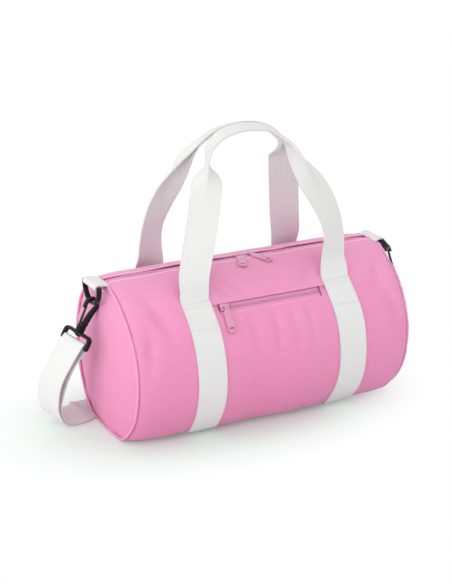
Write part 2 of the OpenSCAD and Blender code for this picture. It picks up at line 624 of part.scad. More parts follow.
// Adjuster: two low bars under the webbing and a high one over it, joined beside its edges
adjuster_bar = 3;
adjuster_side = 3;
adjuster_play = 0.6;
adjuster_low = floor_gap + floor_gap;
adjuster_high = floor_z(0) + adjuster_lift + webbing_t / 2 + rest_gap;
module strap_adjuster() color(black) translate([0, strap_back, 0]) {
    half_w = webbing_w / 2 + adjuster_play;
    for (x = [-adjuster_len / 2, adjuster_len / 2 - adjuster_bar])
        translate([x, -half_w - adjuster_side, adjuster_low])
            cube([adjuster_bar, 2 * (half_w + adjuster_side), adjuster_t]);
    translate([-adjuster_bar / 2, -half_w - adjuster_side, adjuster_high])
        cube([adjuster_bar, 2 * (half_w + adjuster_side), adjuster_t]);
    for (y = [-half_w, half_w + adjuster_side]) translate([0, y, 0]) rotate([90, 0, 0])
        linear_extrude(adjuster_side) polygon([
            [-adjuster_len / 2, adjuster_low], [adjuster_len / 2, adjuster_low],
            [adjuster_len / 2, adjuster_low + adjuster_t], [adjuster_bar, adjuster_high + adjuster_t],
            [-adjuster_bar, adjuster_high + adjuster_t], [-adjuster_len / 2, adjuster_low + adjuster_t]]);
}

// Zip slider, drawn along x with the tape's top at z = 0 and its wide, opening end at +x.
// The coil lies on the tape, or under it where coil_up is false.
wedge_t = 0.4;
wedge_len = 3;
post_t = 1;
post_w = 2;
slider_round_share = 1.15;
flange_in = zip_slit / 2 + coil_w + rest_gap;
knuckle_wall = 0.9;
puller_knuckle_r = bar_r + pin_fit + knuckle_wall;
function slider_top(coil_up) = (coil_up ? coil_h : 0) + rest_gap + plate_t;
function bar_z(coil_up) = slider_top(coil_up) + puller_knuckle_r + rest_gap;
module slider_plate() {
    intersection() {
        square([slider_len, slider_w], center = true);
        circle(d = slider_len * slider_round_share);
    }
}
module slider(coil_up) color(pink) {
    top = slider_top(coil_up);
    bottom = -tape_t - (coil_up ? 0 : coil_h) - rest_gap - plate_t;
    translate([0, 0, top - plate_t]) linear_extrude(plate_t) slider_plate();
    translate([0, 0, bottom]) linear_extrude(plate_t) slider_plate();
    translate([slider_len / 2 - wedge_len - post_t, -wedge_t / 2, bottom + plate_t / 2])
        cube([wedge_len, wedge_t, top - bottom - plate_t]);
    // Flanges that fold round the coils
    from = coil_up ? rest_gap : bottom + plate_t / 2;
    to = coil_up ? top - plate_t / 2 : -tape_t - rest_gap;
    translate([0, 0, from]) linear_extrude(to - from) difference() {
        slider_plate();
        square([2 * slider_len, 2 * flange_in], center = true);
    }
    // Bridge that carries the puller
    post_h = bar_z(coil_up) + bar_r - top + plate_t / 2;
    for (x = [-bar_len / 2 - post_t, bar_len / 2])
        translate([x, -post_w / 2, top - plate_t / 2]) cube([post_t, post_w, post_h]);
    translate([-bar_len / 2 - post_t / 2, 0, bar_z(coil_up)]) rotate([0, 90, 0])
        cylinder(r = bar_r, h = bar_len + post_t);
}

// Puller, drawn with its bore on the x axis and its tab towards -y, turned by its slack
puller_hole_w = 5;
puller_hole_h = 2.2;
puller_neck_w = 2.8;
puller_neck_len = 1.8;
puller_corner_r = 2.4;
module puller_outline() {
    top = -puller_knuckle_r - puller_neck_len;
    translate([-puller_neck_w / 2, top - puller_w / 2]) square([puller_neck_w, puller_w / 2 - top]);
    translate([0, top - puller_w / 2]) circle(d = puller_w);
    translate([-puller_w / 2, -puller_len + puller_corner_r])
        square([puller_w, puller_len + top - puller_w / 2 - puller_corner_r]);
    translate([-puller_w / 2 + puller_corner_r, -puller_len])
        square([puller_w - 2 * puller_corner_r, 2 * puller_corner_r]);
    for (x = [-puller_w / 2 + puller_corner_r, puller_w / 2 - puller_corner_r])
        translate([x, -puller_len + puller_corner_r]) circle(r = puller_corner_r);
}
module puller(skew) color(pale_pink) difference() {
    union() {
        rotate([0, 90, 0]) cylinder(r = puller_knuckle_r, h = bar_len - 2 * rest_gap, center = true);
        rotate([0, 0, skew]) translate([0, 0, -puller_t / 2]) linear_extrude(puller_t) difference() {
            puller_outline();
            for (x = [-1, 1])
                translate([x * (puller_hole_w - puller_hole_h) / 2, -puller_len + puller_w / 2])
                    circle(d = puller_hole_h);
            translate([0, -puller_len + puller_w / 2])
                square([puller_hole_w - puller_hole_h, puller_hole_h], center = true);
        }
    }
    rotate([0, 90, 0]) cylinder(r = bar_r + pin_fit, h = bar_len + 2 * over, center = true);
}

// Places of the sliders and how far their pullers hang from level
slider_gap = 0.5;
main_tape_top = axis_h + skin_r;
main_left_x = zip_meet_x - (slider_len + slider_gap) / 2;
main_right_x = zip_meet_x + (slider_len + slider_gap) / 2;
main_hang = 6.5;
pocket_slider_x = -pocket_half + slider_len / 2 + slider_gap;
pocket_hang = 6.5;
left_skew = -22;
right_skew = 30;
// The pocket slider stands square on the barrel at the pocket's angle
module at_pocket() {
    translate([pocket_slider_x, 0, axis_h]) rotate([90 - pocket_angle, 0, 0])
        translate([0, 0, skin_r]) children();
}

barrel_panel();
pocket_panel();
end_panel(-1);  // left_end_panel
end_panel(1);  // right_end_panel
piping(-1);  // left_piping
piping(1);  // right_piping
seam_binding(-1);  // left_seam_binding
seam_binding(1);  // right_seam_binding
pocket_lining();
main_tape(-tape_w - zip_slit / 2, -zip_slit / 2);  // main_zip_tape_front
main_tape(zip_slit / 2, tape_w + zip_slit / 2);  // main_zip_tape_back
main_coil(-coil_w - zip_slit / 2, -zip_slit / 2);  // main_zip_coil_front
main_coil(zip_slit / 2, coil_w + zip_slit / 2);  // main_zip_coil_back
pocket_tape(slit_angle, tape_angle);  // pocket_zip_tape_upper
pocket_tape(-tape_angle, -slit_angle);  // pocket_zip_tape_lower
pocket_coil(slit_angle, coil_angle);  // pocket_zip_coil_upper
pocket_coil(-coil_angle, -slit_angle);  // pocket_zip_coil_lower
body_strap(-strap_x);  // left_strap
body_strap(strap_x);  // right_strap
ring_tab(-1);  // left_ring_tab
ring_tab(1);  // right_ring_tab
handle(front_shares);  // front_handle
rotate([0, 0, 180]) handle(back_shares);  // back_handle
translate([main_left_x, 0, main_tape_top]) slider(false);  // main_slider_left
translate([main_right_x, 0, main_tape_top]) rotate([0, 0, 180]) slider(false);  // main_slider_right
at_pocket() rotate([0, 0, 180]) slider(true);  // pocket_slider
translate([main_left_x, 0, main_tape_top + bar_z(false)]) rotate([main_hang, 0, 0]) puller(left_skew);  // main_puller_left
translate([main_right_x, 0, main_tape_top + bar_z(false)]) rotate([main_hang, 0, 0]) puller(right_skew);  // main_puller_right
at_pocket() translate([0, 0, bar_z(true)]) rotate([pocket_hang, 0, 0]) puller(0);  // pocket_puller
ring(-1);  // left_ring
ring(1);  // right_ring
color(black) at_hook(-1) hook_body();  // left_hook
color(black) at_hook(1) hook_body();  // right_hook
color(black) at_hook(-1) hook_gate();  // left_hook_gate
color(black) at_hook(1) hook_gate();  // right_hook_gate
color(black) at_hook(-1) rotate([0, 0, base_turn]) hook_base();  // left_hook_base
color(black) at_hook(1) rotate([0, 0, base_turn]) hook_base();  // right_hook_base
shoulder_strap();
strap_adjuster();
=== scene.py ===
# %% [markdown]
# Barrel bag. A round bag of pink fabric with white webbing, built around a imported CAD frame.
# The frame says where each part sits and how it moves. A bag could also be sculpted by hand, but
# a script can be read, changed and run again. This one makes the cloth, the webbing, the zips and
# the hardware, and then the light and the floor. Lengths are in mm until a mesh is made.

# %% Tools and frame
import math
import bmesh
import bpy
from mathutils import Matrix, Vector, noise


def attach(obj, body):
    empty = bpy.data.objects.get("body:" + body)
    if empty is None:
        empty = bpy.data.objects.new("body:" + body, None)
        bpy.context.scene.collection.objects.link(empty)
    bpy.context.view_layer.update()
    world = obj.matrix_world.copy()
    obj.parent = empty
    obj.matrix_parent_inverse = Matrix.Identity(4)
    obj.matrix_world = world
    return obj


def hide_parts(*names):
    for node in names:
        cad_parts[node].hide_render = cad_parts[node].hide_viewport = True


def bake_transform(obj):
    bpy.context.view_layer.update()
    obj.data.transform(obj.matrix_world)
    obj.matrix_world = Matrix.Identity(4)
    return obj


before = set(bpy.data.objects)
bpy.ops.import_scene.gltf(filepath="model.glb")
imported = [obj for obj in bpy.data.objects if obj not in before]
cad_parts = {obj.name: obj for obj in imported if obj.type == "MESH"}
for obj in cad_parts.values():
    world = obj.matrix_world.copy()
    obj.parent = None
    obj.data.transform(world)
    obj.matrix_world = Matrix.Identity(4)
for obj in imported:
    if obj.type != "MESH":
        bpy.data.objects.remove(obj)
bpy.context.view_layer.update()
mm = 0.001

# %% [markdown]
# The camera comes first, because every later choice is judged through it. It stands in front and
# to the left of the bag, a little above it. A short lens close by would make the near end look
# much larger, so a long lens is set further off, and the two ends look almost the same size.

# %% Camera
azimuth, elevation, distance = math.radians(-27.72), math.radians(19.63), 2.16
target = Vector((-0.0206, 0, 0.1529))
look = Vector((-math.sin(azimuth) * math.cos(elevation),
               math.cos(azimuth) * math.cos(elevation), -math.sin(elevation)))
camera_data = bpy.data.cameras.new("camera")
camera_data.sensor_fit = "VERTICAL"
focal_pixels, picture_height = 1698, 584
camera_data.sensor_height = 24
camera_data.lens = camera_data.sensor_height * focal_pixels / picture_height
camera = bpy.data.objects.new("camera", camera_data)
camera.location = target - look * distance
camera.rotation_euler = look.to_track_quat("-Z", "Y").to_euler()
bpy.context.scene.collection.objects.link(camera)
bpy.context.scene.camera = camera
bpy.context.scene.view_settings.view_transform = "Standard"
print("camera", [round(c, 3) for c in camera.location])

# %% [markdown]
# Materials are node trees. They could be built node by node, but long chains of maths are hard to
# read that way. A small class wraps each socket, so that maths on a surface is written as a Python
# expression, and one method adds any other node.

# %% Wires and finishes
class Wire:
    """An output in a finish. Arithmetic on it adds Math nodes."""
    def __init__(self, finish, socket):
        self.finish, self.socket = finish, socket
    def math(self, operation, *values):
        return self.finish.node("ShaderNodeMath", {"operation": operation}, values)
    def __add__(self, other): return self.math("ADD", self, other)
    def __sub__(self, other): return self.math("SUBTRACT", self, other)
    def __rsub__(self, other): return self.math("SUBTRACT", other, self)
    def __mul__(self, other): return self.math("MULTIPLY", self, other)
    def __pow__(self, other): return self.math("POWER", self, other)
    def sine(self): return self.math("SINE", self)
    def size(self): return self.math("ABSOLUTE", self)
    def clamp(self): return self.finish.node("ShaderNodeClamp", {}, [self])
    def steps(self, low, high):
        return self.finish.node("ShaderNodeMapRange", {"interpolation_type": "SMOOTHSTEP"},
                                [self, low, high, 0.0, 1.0])

class Finish:
    """A material with one Principled shader."""
    def __init__(self, name, **constants):
        self.material = bpy.data.materials.new(name)
        self.material.use_nodes = True
        self.tree = self.material.node_tree
        self.shader = self.tree.nodes["Principled BSDF"]
        self.set(**constants)
    def plug(self, socket, value):
        if isinstance(value, Wire):
            self.tree.links.new(value.socket, socket)
        else:
            socket.default_value = value
    def node(self, kind, settings, values, output=0):
        made = self.tree.nodes.new(kind)
        for name, value in settings.items():
            setattr(made, name, value)
        named = values.items() if isinstance(values, dict) else enumerate(values)
        for key, value in named:
            self.plug(made.inputs[key], value)
        return Wire(self, made.outputs[output])
    def set(self, **values):
        for name, value in values.items():
            self.plug(self.shader.inputs[name.replace("_", " ")], value)
    def place(self):
        return self.node("ShaderNodeTexCoord", {}, [], "Object")
    def cloth_place(self):
        return self.node("ShaderNodeUVMap", {"uv_map": "cloth"}, [])
    def parts(self, vector):
        return [self.node("ShaderNodeSeparateXYZ", {}, [vector], axis) for axis in range(3)]
    def noise(self, vector, scale):
        return self.node("ShaderNodeTexNoise", {}, {"Vector": vector, "Scale": scale, "Detail": 2.0})
    def mix(self, share, first, second):
        return self.node("ShaderNodeMix", {"data_type": "RGBA"}, {0: share, 6: first, 7: second}, 2)
    def raise_surface(self, height, strength, depth):
        self.set(Normal=self.node("ShaderNodeBump", {}, {"Strength": strength, "Distance": depth,
                                                         "Height": height}))

# %% [markdown]
# The fabric is a matt woven polyester. A picture of cloth could be wrapped round it, but that blurs
# close up, so the weave is two crossed waves on the cloth's own UV map, which is in metres. Its
# threads are half a millimetre wide and only give a fine grain. The colour wanders a little; painted
# light makes it paler towards the top and deeper towards the floor, with painted shade in the weave.

# %% Fabric finishes
def weave_height(finish, pitch):
    u, v, _ = finish.parts(finish.cloth_place())
    turn = 2 * math.pi / pitch
    return (u * turn).sine() * (v * turn).sine()

def cloth_finish(name, pale, deep, pitch=0.0009):
    finish = Finish(name, Roughness=0.82, Sheen_Weight=0.45, Sheen_Roughness=0.4,
                    Sheen_Tint=(1.0, 0.85, 0.93, 1.0), Specular_IOR_Level=0.25)
    place = finish.place()
    wander = (finish.noise(place, 9.0) * 0.35 + finish.noise(place, 170.0) * 0.35
              + finish.noise(place, 480.0) * 0.3)
    height = weave_height(finish, pitch)
    height_for_painted_light = finish.parts(place)[2]
    # Painted light and shade: the colour is paler higher up, as if lit from above, and a touch darker in
    # the weave's hollows. The noise is the cloth's own random tone.
    share = (wander * 0.9 + height * 0.04 + height_for_painted_light * 3.2 - 0.28).clamp()
    finish.set(Base_Color=finish.mix(share, deep, pale))
    finish.raise_surface(height + finish.noise(place, 900.0) * 0.8, 0.35, 0.00012)
    return finish.material

bag_fabric = cloth_finish("bag_fabric", (0.83, 0.34, 0.55, 1), (0.73, 0.22, 0.415, 1))
piping_fabric = cloth_finish("piping_fabric", (0.83, 0.36, 0.58, 1), (0.79, 0.31, 0.53, 1))
lining_fabric = cloth_finish("lining_fabric", (0.74, 0.30, 0.49, 1), (0.70, 0.26, 0.45, 1), 0.0006)
print("fabric finishes", bag_fabric.name, piping_fabric.name, lining_fabric.name)

# %% [markdown]
# The webbing is a thick white tape whose threads run in slanting ribs between two firm edges. The
# ribs could be modelled, but they are a tenth of a millimetre deep, so a bump shows them for less,
# and painted shade darkens their hollows and the two edges a little. On every strap u runs across
# from the middle and v runs along, so one pattern serves them all.

# %% Webbing finish
def webbing_finish():
    finish = Finish("webbing", Roughness=0.78, Sheen_Weight=0.15, Sheen_Roughness=0.5,
                    Specular_IOR_Level=0.3)
    u, v, _ = finish.parts(finish.cloth_place())
    rib_pitch, slant_pitch = 0.0023, 0.0031
    ribs = (u * (2 * math.pi / rib_pitch)).sine() * 0.6
    slant = ((u + v) * (2 * math.pi / slant_pitch)).sine() * 0.4
    edge = u.size().steps(0.0172, 0.0186)
    height = (ribs + slant) * (1 - edge * 0.7)
    grain = finish.noise(finish.place(), 700.0)
    # Painted shade: the colour is darker in the ribs' hollows and along the edges. The grain is the
    # webbing's own random tone.
    shade = (height * 0.4 + grain * 0.4 + 0.3 - edge * 0.25).clamp()
    finish.set(Base_Color=finish.mix(shade, (0.63, 0.63, 0.625, 1), (0.82, 0.82, 0.815, 1)))
    finish.raise_surface(height + grain * 0.3, 0.3, 0.00016)
    return finish.material

webbing_white = webbing_finish()
print("webbing finish", webbing_white.name)

# %% [markdown]
# Enamel on the sliders and pullers is smooth and a little glossy. The black hardware is moulded
# plastic with a fine grain. Teeth and thread are plain plastic and twisted yarn. A single flat
# colour would look like a drawing, so all of them share one recipe: a speckle too fine to see by
# itself that moves the colour, the roughness and the surface a little.

# %% Hard finishes
def hard_finish(name, colour, roughness, grain, depth, **constants):
    finish = Finish(name, **constants)
    speckle = finish.noise(finish.place(), grain)
    finish.set(Base_Color=finish.mix(speckle, tuple(c * 0.9 for c in colour) + (1,), colour + (1,)),
               Roughness=speckle * 0.12 + (roughness - 0.06))
    finish.raise_surface(speckle, 0.25, depth)
    return finish.material

enamel = hard_finish("pink_enamel", (0.70, 0.305, 0.46), 0.32, 900.0, 0.00003,
                     Metallic=0.15, Coat_Weight=0.5, Coat_Roughness=0.15)
black_plastic = hard_finish("black_plastic", (0.010, 0.010, 0.012), 0.30, 1300.0, 0.00005,
                            Specular_IOR_Level=0.2)
tooth_plastic = hard_finish("tooth_plastic", (0.88, 0.46, 0.66), 0.4, 1500.0, 0.00002)
pale_thread = hard_finish("pale_thread", (0.98, 0.88, 0.93), 0.7, 2500.0, 0.0001)
fabric_thread = hard_finish("fabric_thread", (0.92, 0.54, 0.72), 0.7, 2500.0, 0.0001)
dark_thread = hard_finish("dark_thread", (0.20, 0.03, 0.09), 0.7, 2500.0, 0.0001)
# Painted shade: this white thread is coloured grey, so that the strap's stitched lines read as the shaded
# lines they make.
white_thread_with_painted_shade = hard_finish("white_thread_with_painted_shade", (0.66, 0.66, 0.66), 0.7, 2500.0, 0.0001)

def tape_finish():
    """Woven tape, painted dark as painted shade under the pocket's teeth and beside the folded edges that
    hang over it.
    """
    finish = Finish("zip_tape", Roughness=0.8, Sheen_Weight=0.2)
    u, v, _ = finish.parts(finish.cloth_place())
    pocket_row, between_rows, main_row = 0.08124, 0.1, 0.16808  # v at each zip's middle
    chevron = ((u + v) * (2 * math.pi / 0.0014)).sine()
    woven = finish.mix((chevron * 0.25 + 0.5).clamp(), (0.78, 0.28, 0.48, 1), (0.86, 0.36, 0.57, 1))
    from_pocket, from_main = v - pocket_row, v - main_row
    painted_shade_under_teeth = 1 - from_pocket.size().steps(0.0014, 0.0022)
    on_pocket_tape = 1 - (v - between_rows).steps(0.0, 0.01)
    painted_shade_by_fold = from_pocket.steps(0.0047, 0.0054) * on_pocket_tape + from_main.steps(0.0044, 0.0052)
    # Painted shade: the dark colour stands for the shadow in the slit under the pocket's teeth and under
    # the folded edges.
    shade = painted_shade_under_teeth * 0.8 + painted_shade_by_fold * 0.9
    finish.set(Base_Color=finish.mix(shade.clamp(), woven, (0.27, 0.04, 0.13, 1)))
    finish.raise_surface(chevron, 0.3, 0.00015)
    return finish.material

zip_tape = tape_finish()
print("hard finishes", enamel.name, black_plastic.name, tooth_plastic.name, zip_tape.name)

# %% [markdown]
# Cloth starts flat. A cloth simulation could drape it, but its folds wouldn't come out where they
# are wanted, and a sewn bag hardly moves. So cloth is laid as a grid: Blender makes the flat sheet
# of squares, and each corner is then moved to its place on the bag. The sheet keeps its own flat
# measure as a UV map, for the weave.

# %% Laying cloth
def lay(across, along, place, measure=None, keep=None):
    """A grid with a corner for each pair of values. place gives a corner's point in mm."""
    shape = bmesh.new()
    bmesh.ops.create_grid(shape, x_segments=len(across) - 1, y_segments=len(along) - 1, size=0.5)
    cloth = shape.loops.layers.uv.new("cloth")
    told = {}
    for corner in shape.verts:
        a = across[round((corner.co.x + 0.5) * (len(across) - 1))]
        b = along[round((corner.co.y + 0.5) * (len(along) - 1))]
        told[corner] = (a, b)
        corner.co = Vector(place(a, b)) * mm
    for face in shape.faces:
        for loop in face.loops:
            a, b = told[loop.vert]
            loop[cloth].uv = Vector(measure(a, b) if measure else (a, b)) * mm
    if keep:
        gone = [face for face in shape.faces
                if not keep(*(sum(told[v][i] for v in face.verts) / len(face.verts) for i in (0, 1)))]
        bmesh.ops.delete(shape, geom=gone, context="FACES")
    return shape

def face_away(shape, centre):
    """Turns the sheet over if its first face looks towards a centre in mm."""
    shape.normal_update()
    shape.faces.ensure_lookup_table()
    face = shape.faces[0]
    if face.normal.dot(face.calc_center_median() - Vector(centre) * mm) < 0:
        bmesh.ops.reverse_faces(shape, faces=shape.faces[:])

def weld(shape):
    bmesh.ops.remove_doubles(shape, verts=shape.verts[:], dist=0.00001)
    bmesh.ops.recalc_face_normals(shape, faces=shape.faces[:])

def close_ends(shape):
    """Fills the open ends of a tube and turns its faces outwards."""
    bmesh.ops.holes_fill(shape, edges=[e for e in shape.edges if e.is_boundary], sides=0)
    bmesh.ops.recalc_face_normals(shape, faces=shape.faces[:])
    return shape

# %% [markdown]
# A sheet or a solid becomes an object of the bag here. Thickness and soft edges could be modelled
# by hand, but a modifier gives both in one line. Smooth shading hides the facets of cloth, though
# it also rounds what should look crisp. Webbing and its like have square edges, so their modifiers
# are applied, and the steep edges are marked as sharp.

# %% Pieces, thickness and edges
def piece(shape, name, material, body="root", replaces=()):
    """Makes a bmesh an object of the bag that rides on a body."""
    mesh = bpy.data.meshes.new(name)
    shape.to_mesh(mesh)
    shape.free()
    mesh.materials.append(material)
    mesh.polygons.foreach_set("use_smooth", [True] * len(mesh.polygons))
    made = bpy.data.objects.new(name, mesh)
    bpy.context.scene.collection.objects.link(made)
    if body:
        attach(made, body)
    if replaces:
        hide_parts(*replaces)
    print(name, "points", len(mesh.vertices), "faces", len(mesh.polygons))
    return made

def thicken(made, thickness, offset=-1.0):
    """Gives a sheet its thickness in mm; offset 1 grows outwards and -1 inwards."""
    wall = made.modifiers.new("thickness", "SOLIDIFY")
    wall.thickness, wall.offset, wall.use_even_offset = thickness * mm, offset, True

steep = math.radians(40)

def round_edges(made, width, segments=2):
    edge = made.modifiers.new("edges", "BEVEL")
    edge.width, edge.segments, edge.limit_method = width * mm, segments, "ANGLE"
    edge.angle_limit = steep
    edge.use_clamp_overlap = True

def settle(made):
    """Applies a piece's modifiers, so that its mesh is final."""
    ready = made.evaluated_get(bpy.context.evaluated_depsgraph_get())
    made.data = bpy.data.meshes.new_from_object(ready)
    made.modifiers.clear()

def crisp(made):
    """Settles a piece and keeps its steep edges sharp, so that a flat face stays flat to its edge."""
    settle(made)
    shape = bmesh.new()
    shape.from_mesh(made.data)
    for edge in shape.edges:
        edge.smooth = edge.calc_face_angle(0) < steep
    shape.to_mesh(made.data)
    shape.free()

def between(low, high, step):
    """Even values from low to high, about a step apart."""
    count = max(1, round(abs(high - low) / step))
    return [low + (high - low) * i / count for i in range(count + 1)]

# %% [markdown]
# Stuffed cloth is never even. It stands up beside the zips, where its edge is folded and sewn, it
# dips along the crest, and it creases where the straps and the ends pull on it. Noise alone would
# be quicker, but its creases would fall anywhere. So each crease is listed, and noise only
# adds the slow swells. Angles run round the bag in degrees, from 0 at the front to 90 at the crest.

# %% Folds and creases
half_length, axis_height = 190.0, 91.0
drum_radius, end_radius, taper_start = 107.0, 104.5, 150.0
pocket_half, pocket_angle, zip_gap_angle = 70.0, 43.5, 2.785
pocket_top, pocket_low = pocket_angle + zip_gap_angle, pocket_angle - zip_gap_angle
mm_per_degree = drum_radius * math.pi / 180

def bell(t, centre, width):
    """1 at a centre, and close to 0 two widths away from it."""
    return math.exp(-((t - centre) / width) ** 2)

def ease(t, low, high):
    """Goes softly from 0 at low to 1 at high."""
    share = min(1.0, max(0.0, (t - low) / (high - low)))
    return share * share * (3 - 2 * share)

def on_axis(x):
    return Vector((x, 0, axis_height))

def tilt_of(angle):
    """The angle above the horizontal on either side of the bag, for an angle round the drum."""
    return math.degrees(math.asin(math.sin(math.radians(angle))))

def is_front(angle):
    return math.cos(math.radians(angle)) > 0

def zip_lip(x, angle):
    """How far a folded edge stands up beside the two zips, and dips where it is stitched."""
    from_edge = (abs(angle - 90 if angle > -90 else angle + 270) - zip_gap_angle) * mm_per_degree
    lift = 0.55 * bell(from_edge, 0.4, 1.7) - 0.3 * bell(from_edge, 4.6, 0.9)
    if is_front(angle) and abs(x) < 86:
        above, below = (angle - pocket_top) * mm_per_degree, (pocket_low - angle) * mm_per_degree
        fade = 1 - ease(abs(x), 79, 85)
        if above > -0.4:
            lift += fade * (0.9 * bell(above, 0.4, 3.0) - 0.2 * bell(above, 5.2, 1.0))
        if below > -0.4 and abs(x) < 73:
            lift += 0.5 * bell(below, 0.3, 1.4) - 0.3 * bell(below, 3.2, 0.8)
    return lift

def crest_wave(x, angle):
    """The zip isn't quite straight: the crest dips where the cloth is slack."""
    dips = (2.4 * bell(x, -142, 30) + 1.6 * bell(x, 52, 17) + 2.4 * bell(x, 150, 24)
            - 0.8 * bell(x, -88, 18))
    return (0.5 - 0.6 * dips) * ease(abs(x), 20, 32) * ease(tilt_of(angle), 58, 84)

# Creases under the pocket zip: where along the bag, how they lean and how deep they are.
pocket_creases = ((-34, 0.10, 1.0), (2, -0.05, 1.2), (24, 0.04, 0.8), (46, 0.06, 0.9))
# Creases that pull from a strap or an end: x and tilt of the middle, lean, width and depth.
pull_creases = ((-150, 45, 0.5, 9, 2.2), (-172, 22, -0.3, 7, 1.4), (-62, 62, 0.9, 6, 1.3),
                (-48, 66, 1.3, 6, 1.1), (66, 60, -0.8, 8, 1.0), (160, 48, -0.6, 9, 1.6),
                (168, 24, 0.3, 8, 2.2), (178, 6, 0.2, 6, 1.2))

def folds(x, angle):
    """The slow swells and soft creases of the cloth."""
    tilt = tilt_of(angle)
    calm = ease(90 - tilt, 14, 32)
    if is_front(angle):
        calm *= 1 - (1 - ease(abs(tilt - pocket_angle), 4, 12)) * (1 - ease(abs(x), 74, 90))
    swell = 2.0 * noise.noise(Vector((x / 70, angle / 38, 3.1)))
    swell += 0.9 * noise.noise(Vector((x / 27 + angle / 30, angle / 19, 8.2)))
    near_end = ease(abs(x), 150, 184)
    gather = noise.noise(Vector((x / 40 + 9, angle / 5.5, math.copysign(4, x))))
    swell += 0.9 * near_end * gather * (1 - 0.6 * ease(abs(x), 184, 190))
    if is_front(angle):
        below = pocket_low - tilt
        for centre, lean, depth in pocket_creases:
            drop = ease(below, 1, 8) * (1 - ease(below, 20, 42))
            swell -= 2.2 * depth * drop * bell(x, centre + lean * below * 2, 5.0)
        for across, up, lean, width, depth in pull_creases:
            swell -= 2.6 * depth * bell(x, across + lean * (up - tilt), width) * bell(tilt, up, 15)
    return swell * calm

print("creases", len(pocket_creases) + len(pull_creases), "swell at the front", round(folds(0, 0), 2), "mm")

# %% [markdown]
# The bag is a soft drum 380 mm long. Its fabric is 107 mm from the axis at the crest, it sags a
# few millimetres wider below the middle, and it lies flat on the floor. A cylinder could be pulled
# into that shape by hand, but what is sewn to it would have to be fitted again each time. Here one
# function gives the drum, and whatever is sewn on asks it for its place, so nothing floats.

# %% The drum's surface
def plain_radius(x):
    """The drum's radius without sag, folds or lips. It tapers towards the two end seams."""
    share = max(0.0, (abs(x) - taper_start) / (half_length - taper_start))
    return end_radius + (drum_radius - end_radius) * (1 - share ** 2)

def floor_under(x, y):
    """How low the fabric may hang. It clears the floor, and the webbing that runs under it."""
    clearance, strap_room, flat_half, rise = 0.25, 1.95, 26, 0.087
    under_strap = 1 - ease(abs(abs(x) - 99), 25, 33)
    return clearance + strap_room * under_strap + max(0.0, abs(y) - flat_half) * rise

def drum(x, angle):
    """A point on the outside of the fabric, in mm. The angle is 0 at the front, 90 at the crest."""
    tilt = tilt_of(angle)
    sag = 4.2 * (1 - ease(tilt, 6, 41)) * (1 - (min(abs(x), half_length) / half_length) ** 4)
    radius = plain_radius(x) + (sag + folds(x, angle) + zip_lip(x, angle) + crest_wave(x, angle))
    end_rounding, near_seam = 2.6 if x < 0 else 4.6, max(0.0, (abs(x) - 178) / 12)
    radius -= end_rounding * near_seam ** 2 * ease(90 - tilt, 10, 34)
    turn = math.radians(angle)
    slack = 0.0 if is_front(angle) else ease(-x, 140, 190) * -math.cos(turn)
    radius -= 5.0 * slack
    y, z = -radius * math.cos(turn), axis_height + radius * math.sin(turn)
    ground = floor_under(x, y)
    soft = max(0.0, 1 - abs(z - ground) / 5.0)
    return Vector((x + 5.5 * slack, y, max(z, ground) + soft * soft * 1.25))

def on_drum(x, angle, lift):
    """A point that stands off the fabric by a lift in mm."""
    here = drum(x, angle)
    along, around = drum(x + 0.5, angle) - here, drum(x, angle + 0.25) - here
    out = around.cross(along).normalized()
    if out.dot(here - on_axis(x)) < 0:
        out = -out
    return here + out * lift

print("drum crest", [round(c, 1) for c in drum(0, 86)], "foot", [round(c, 1) for c in drum(0, -90)])

# %% [markdown]
# The barrel is one sheet that runs from the front edge of the zip, down the front, under the bag
# and up the back. An even grid fine enough for the folded edges would be very heavy, so its rows
# only crowd together there, where the shape turns quickly. The panel in front of the pocket is a
# sheet of its own, sewn in under the two straps.

# %% Barrel and pocket panel
fabric_thickness, panel_half, panel_foot = 1.6, 87.0, -42.0
crowd = (0, 0.25, 0.5, 0.8, 1.2, 1.6, 2.0, 2.4, 2.8, 3.3, 4.0, 5.0)
edge_angles = [90 - zip_gap_angle - c for c in crowd]
pocket_angles = [pocket_top + c * 0.8 for c in crowd[:-1]] + [pocket_top - 0.2, pocket_top - 0.4]
pocket_angles += [pocket_low - c * 0.8 for c in crowd[:-1]] + [pocket_low + 0.2]

def thin_out(values, least):
    """Sorted values with no two closer than a least distance."""
    kept = []
    for value in sorted(values):
        if not kept or value - kept[-1] >= least:
            kept.append(value)
    return kept

plain_angles = between(-90, 82, 1.9)
special = edge_angles + pocket_angles
front_angles = thin_out([a for a in plain_angles if min(abs(a - s) for s in special) > 0.7] + special, 0.12)
back_angles = [-180 - a for a in front_angles if a > -90 and a not in pocket_angles]
drum_angles = sorted(set(back_angles + front_angles + [panel_foot]))
seam_places = [side * x for side in (-1, 1)
               for x in (pocket_half, pocket_half + 1, panel_half, half_length)]
drum_places = sorted([x for x in between(-half_length, half_length, 3.4)
                      if min(abs(x - s) for s in seam_places) > 0.8] + seam_places)

def in_panel(x, angle):
    return abs(x) < panel_half and panel_foot < angle < pocket_top

def in_pocket_zip(x, angle):
    return abs(x) < pocket_half and pocket_low < angle < pocket_top

def drum_measure(x, angle):
    return x, angle * mm_per_degree

barrel_sheet = lay(drum_places, drum_angles, drum, drum_measure, lambda x, a: not in_panel(x, a))
face_away(barrel_sheet, on_axis(-half_length))
barrel = piece(barrel_sheet, "barrel", bag_fabric, replaces=["barrel_panel"])
thicken(barrel, fabric_thickness)

def panel_point(x, angle):
    """The pocket's panel starts under the fold of the barrel and comes up to the barrel's level."""
    below = (pocket_top - angle) * mm_per_degree
    here = drum(x, angle)
    inward = (on_axis(x) - here).normalized()
    return here + inward * 1.5 * (1 - ease(below, 0.5, 12)) * ease(abs(x), pocket_half - 4, pocket_half)

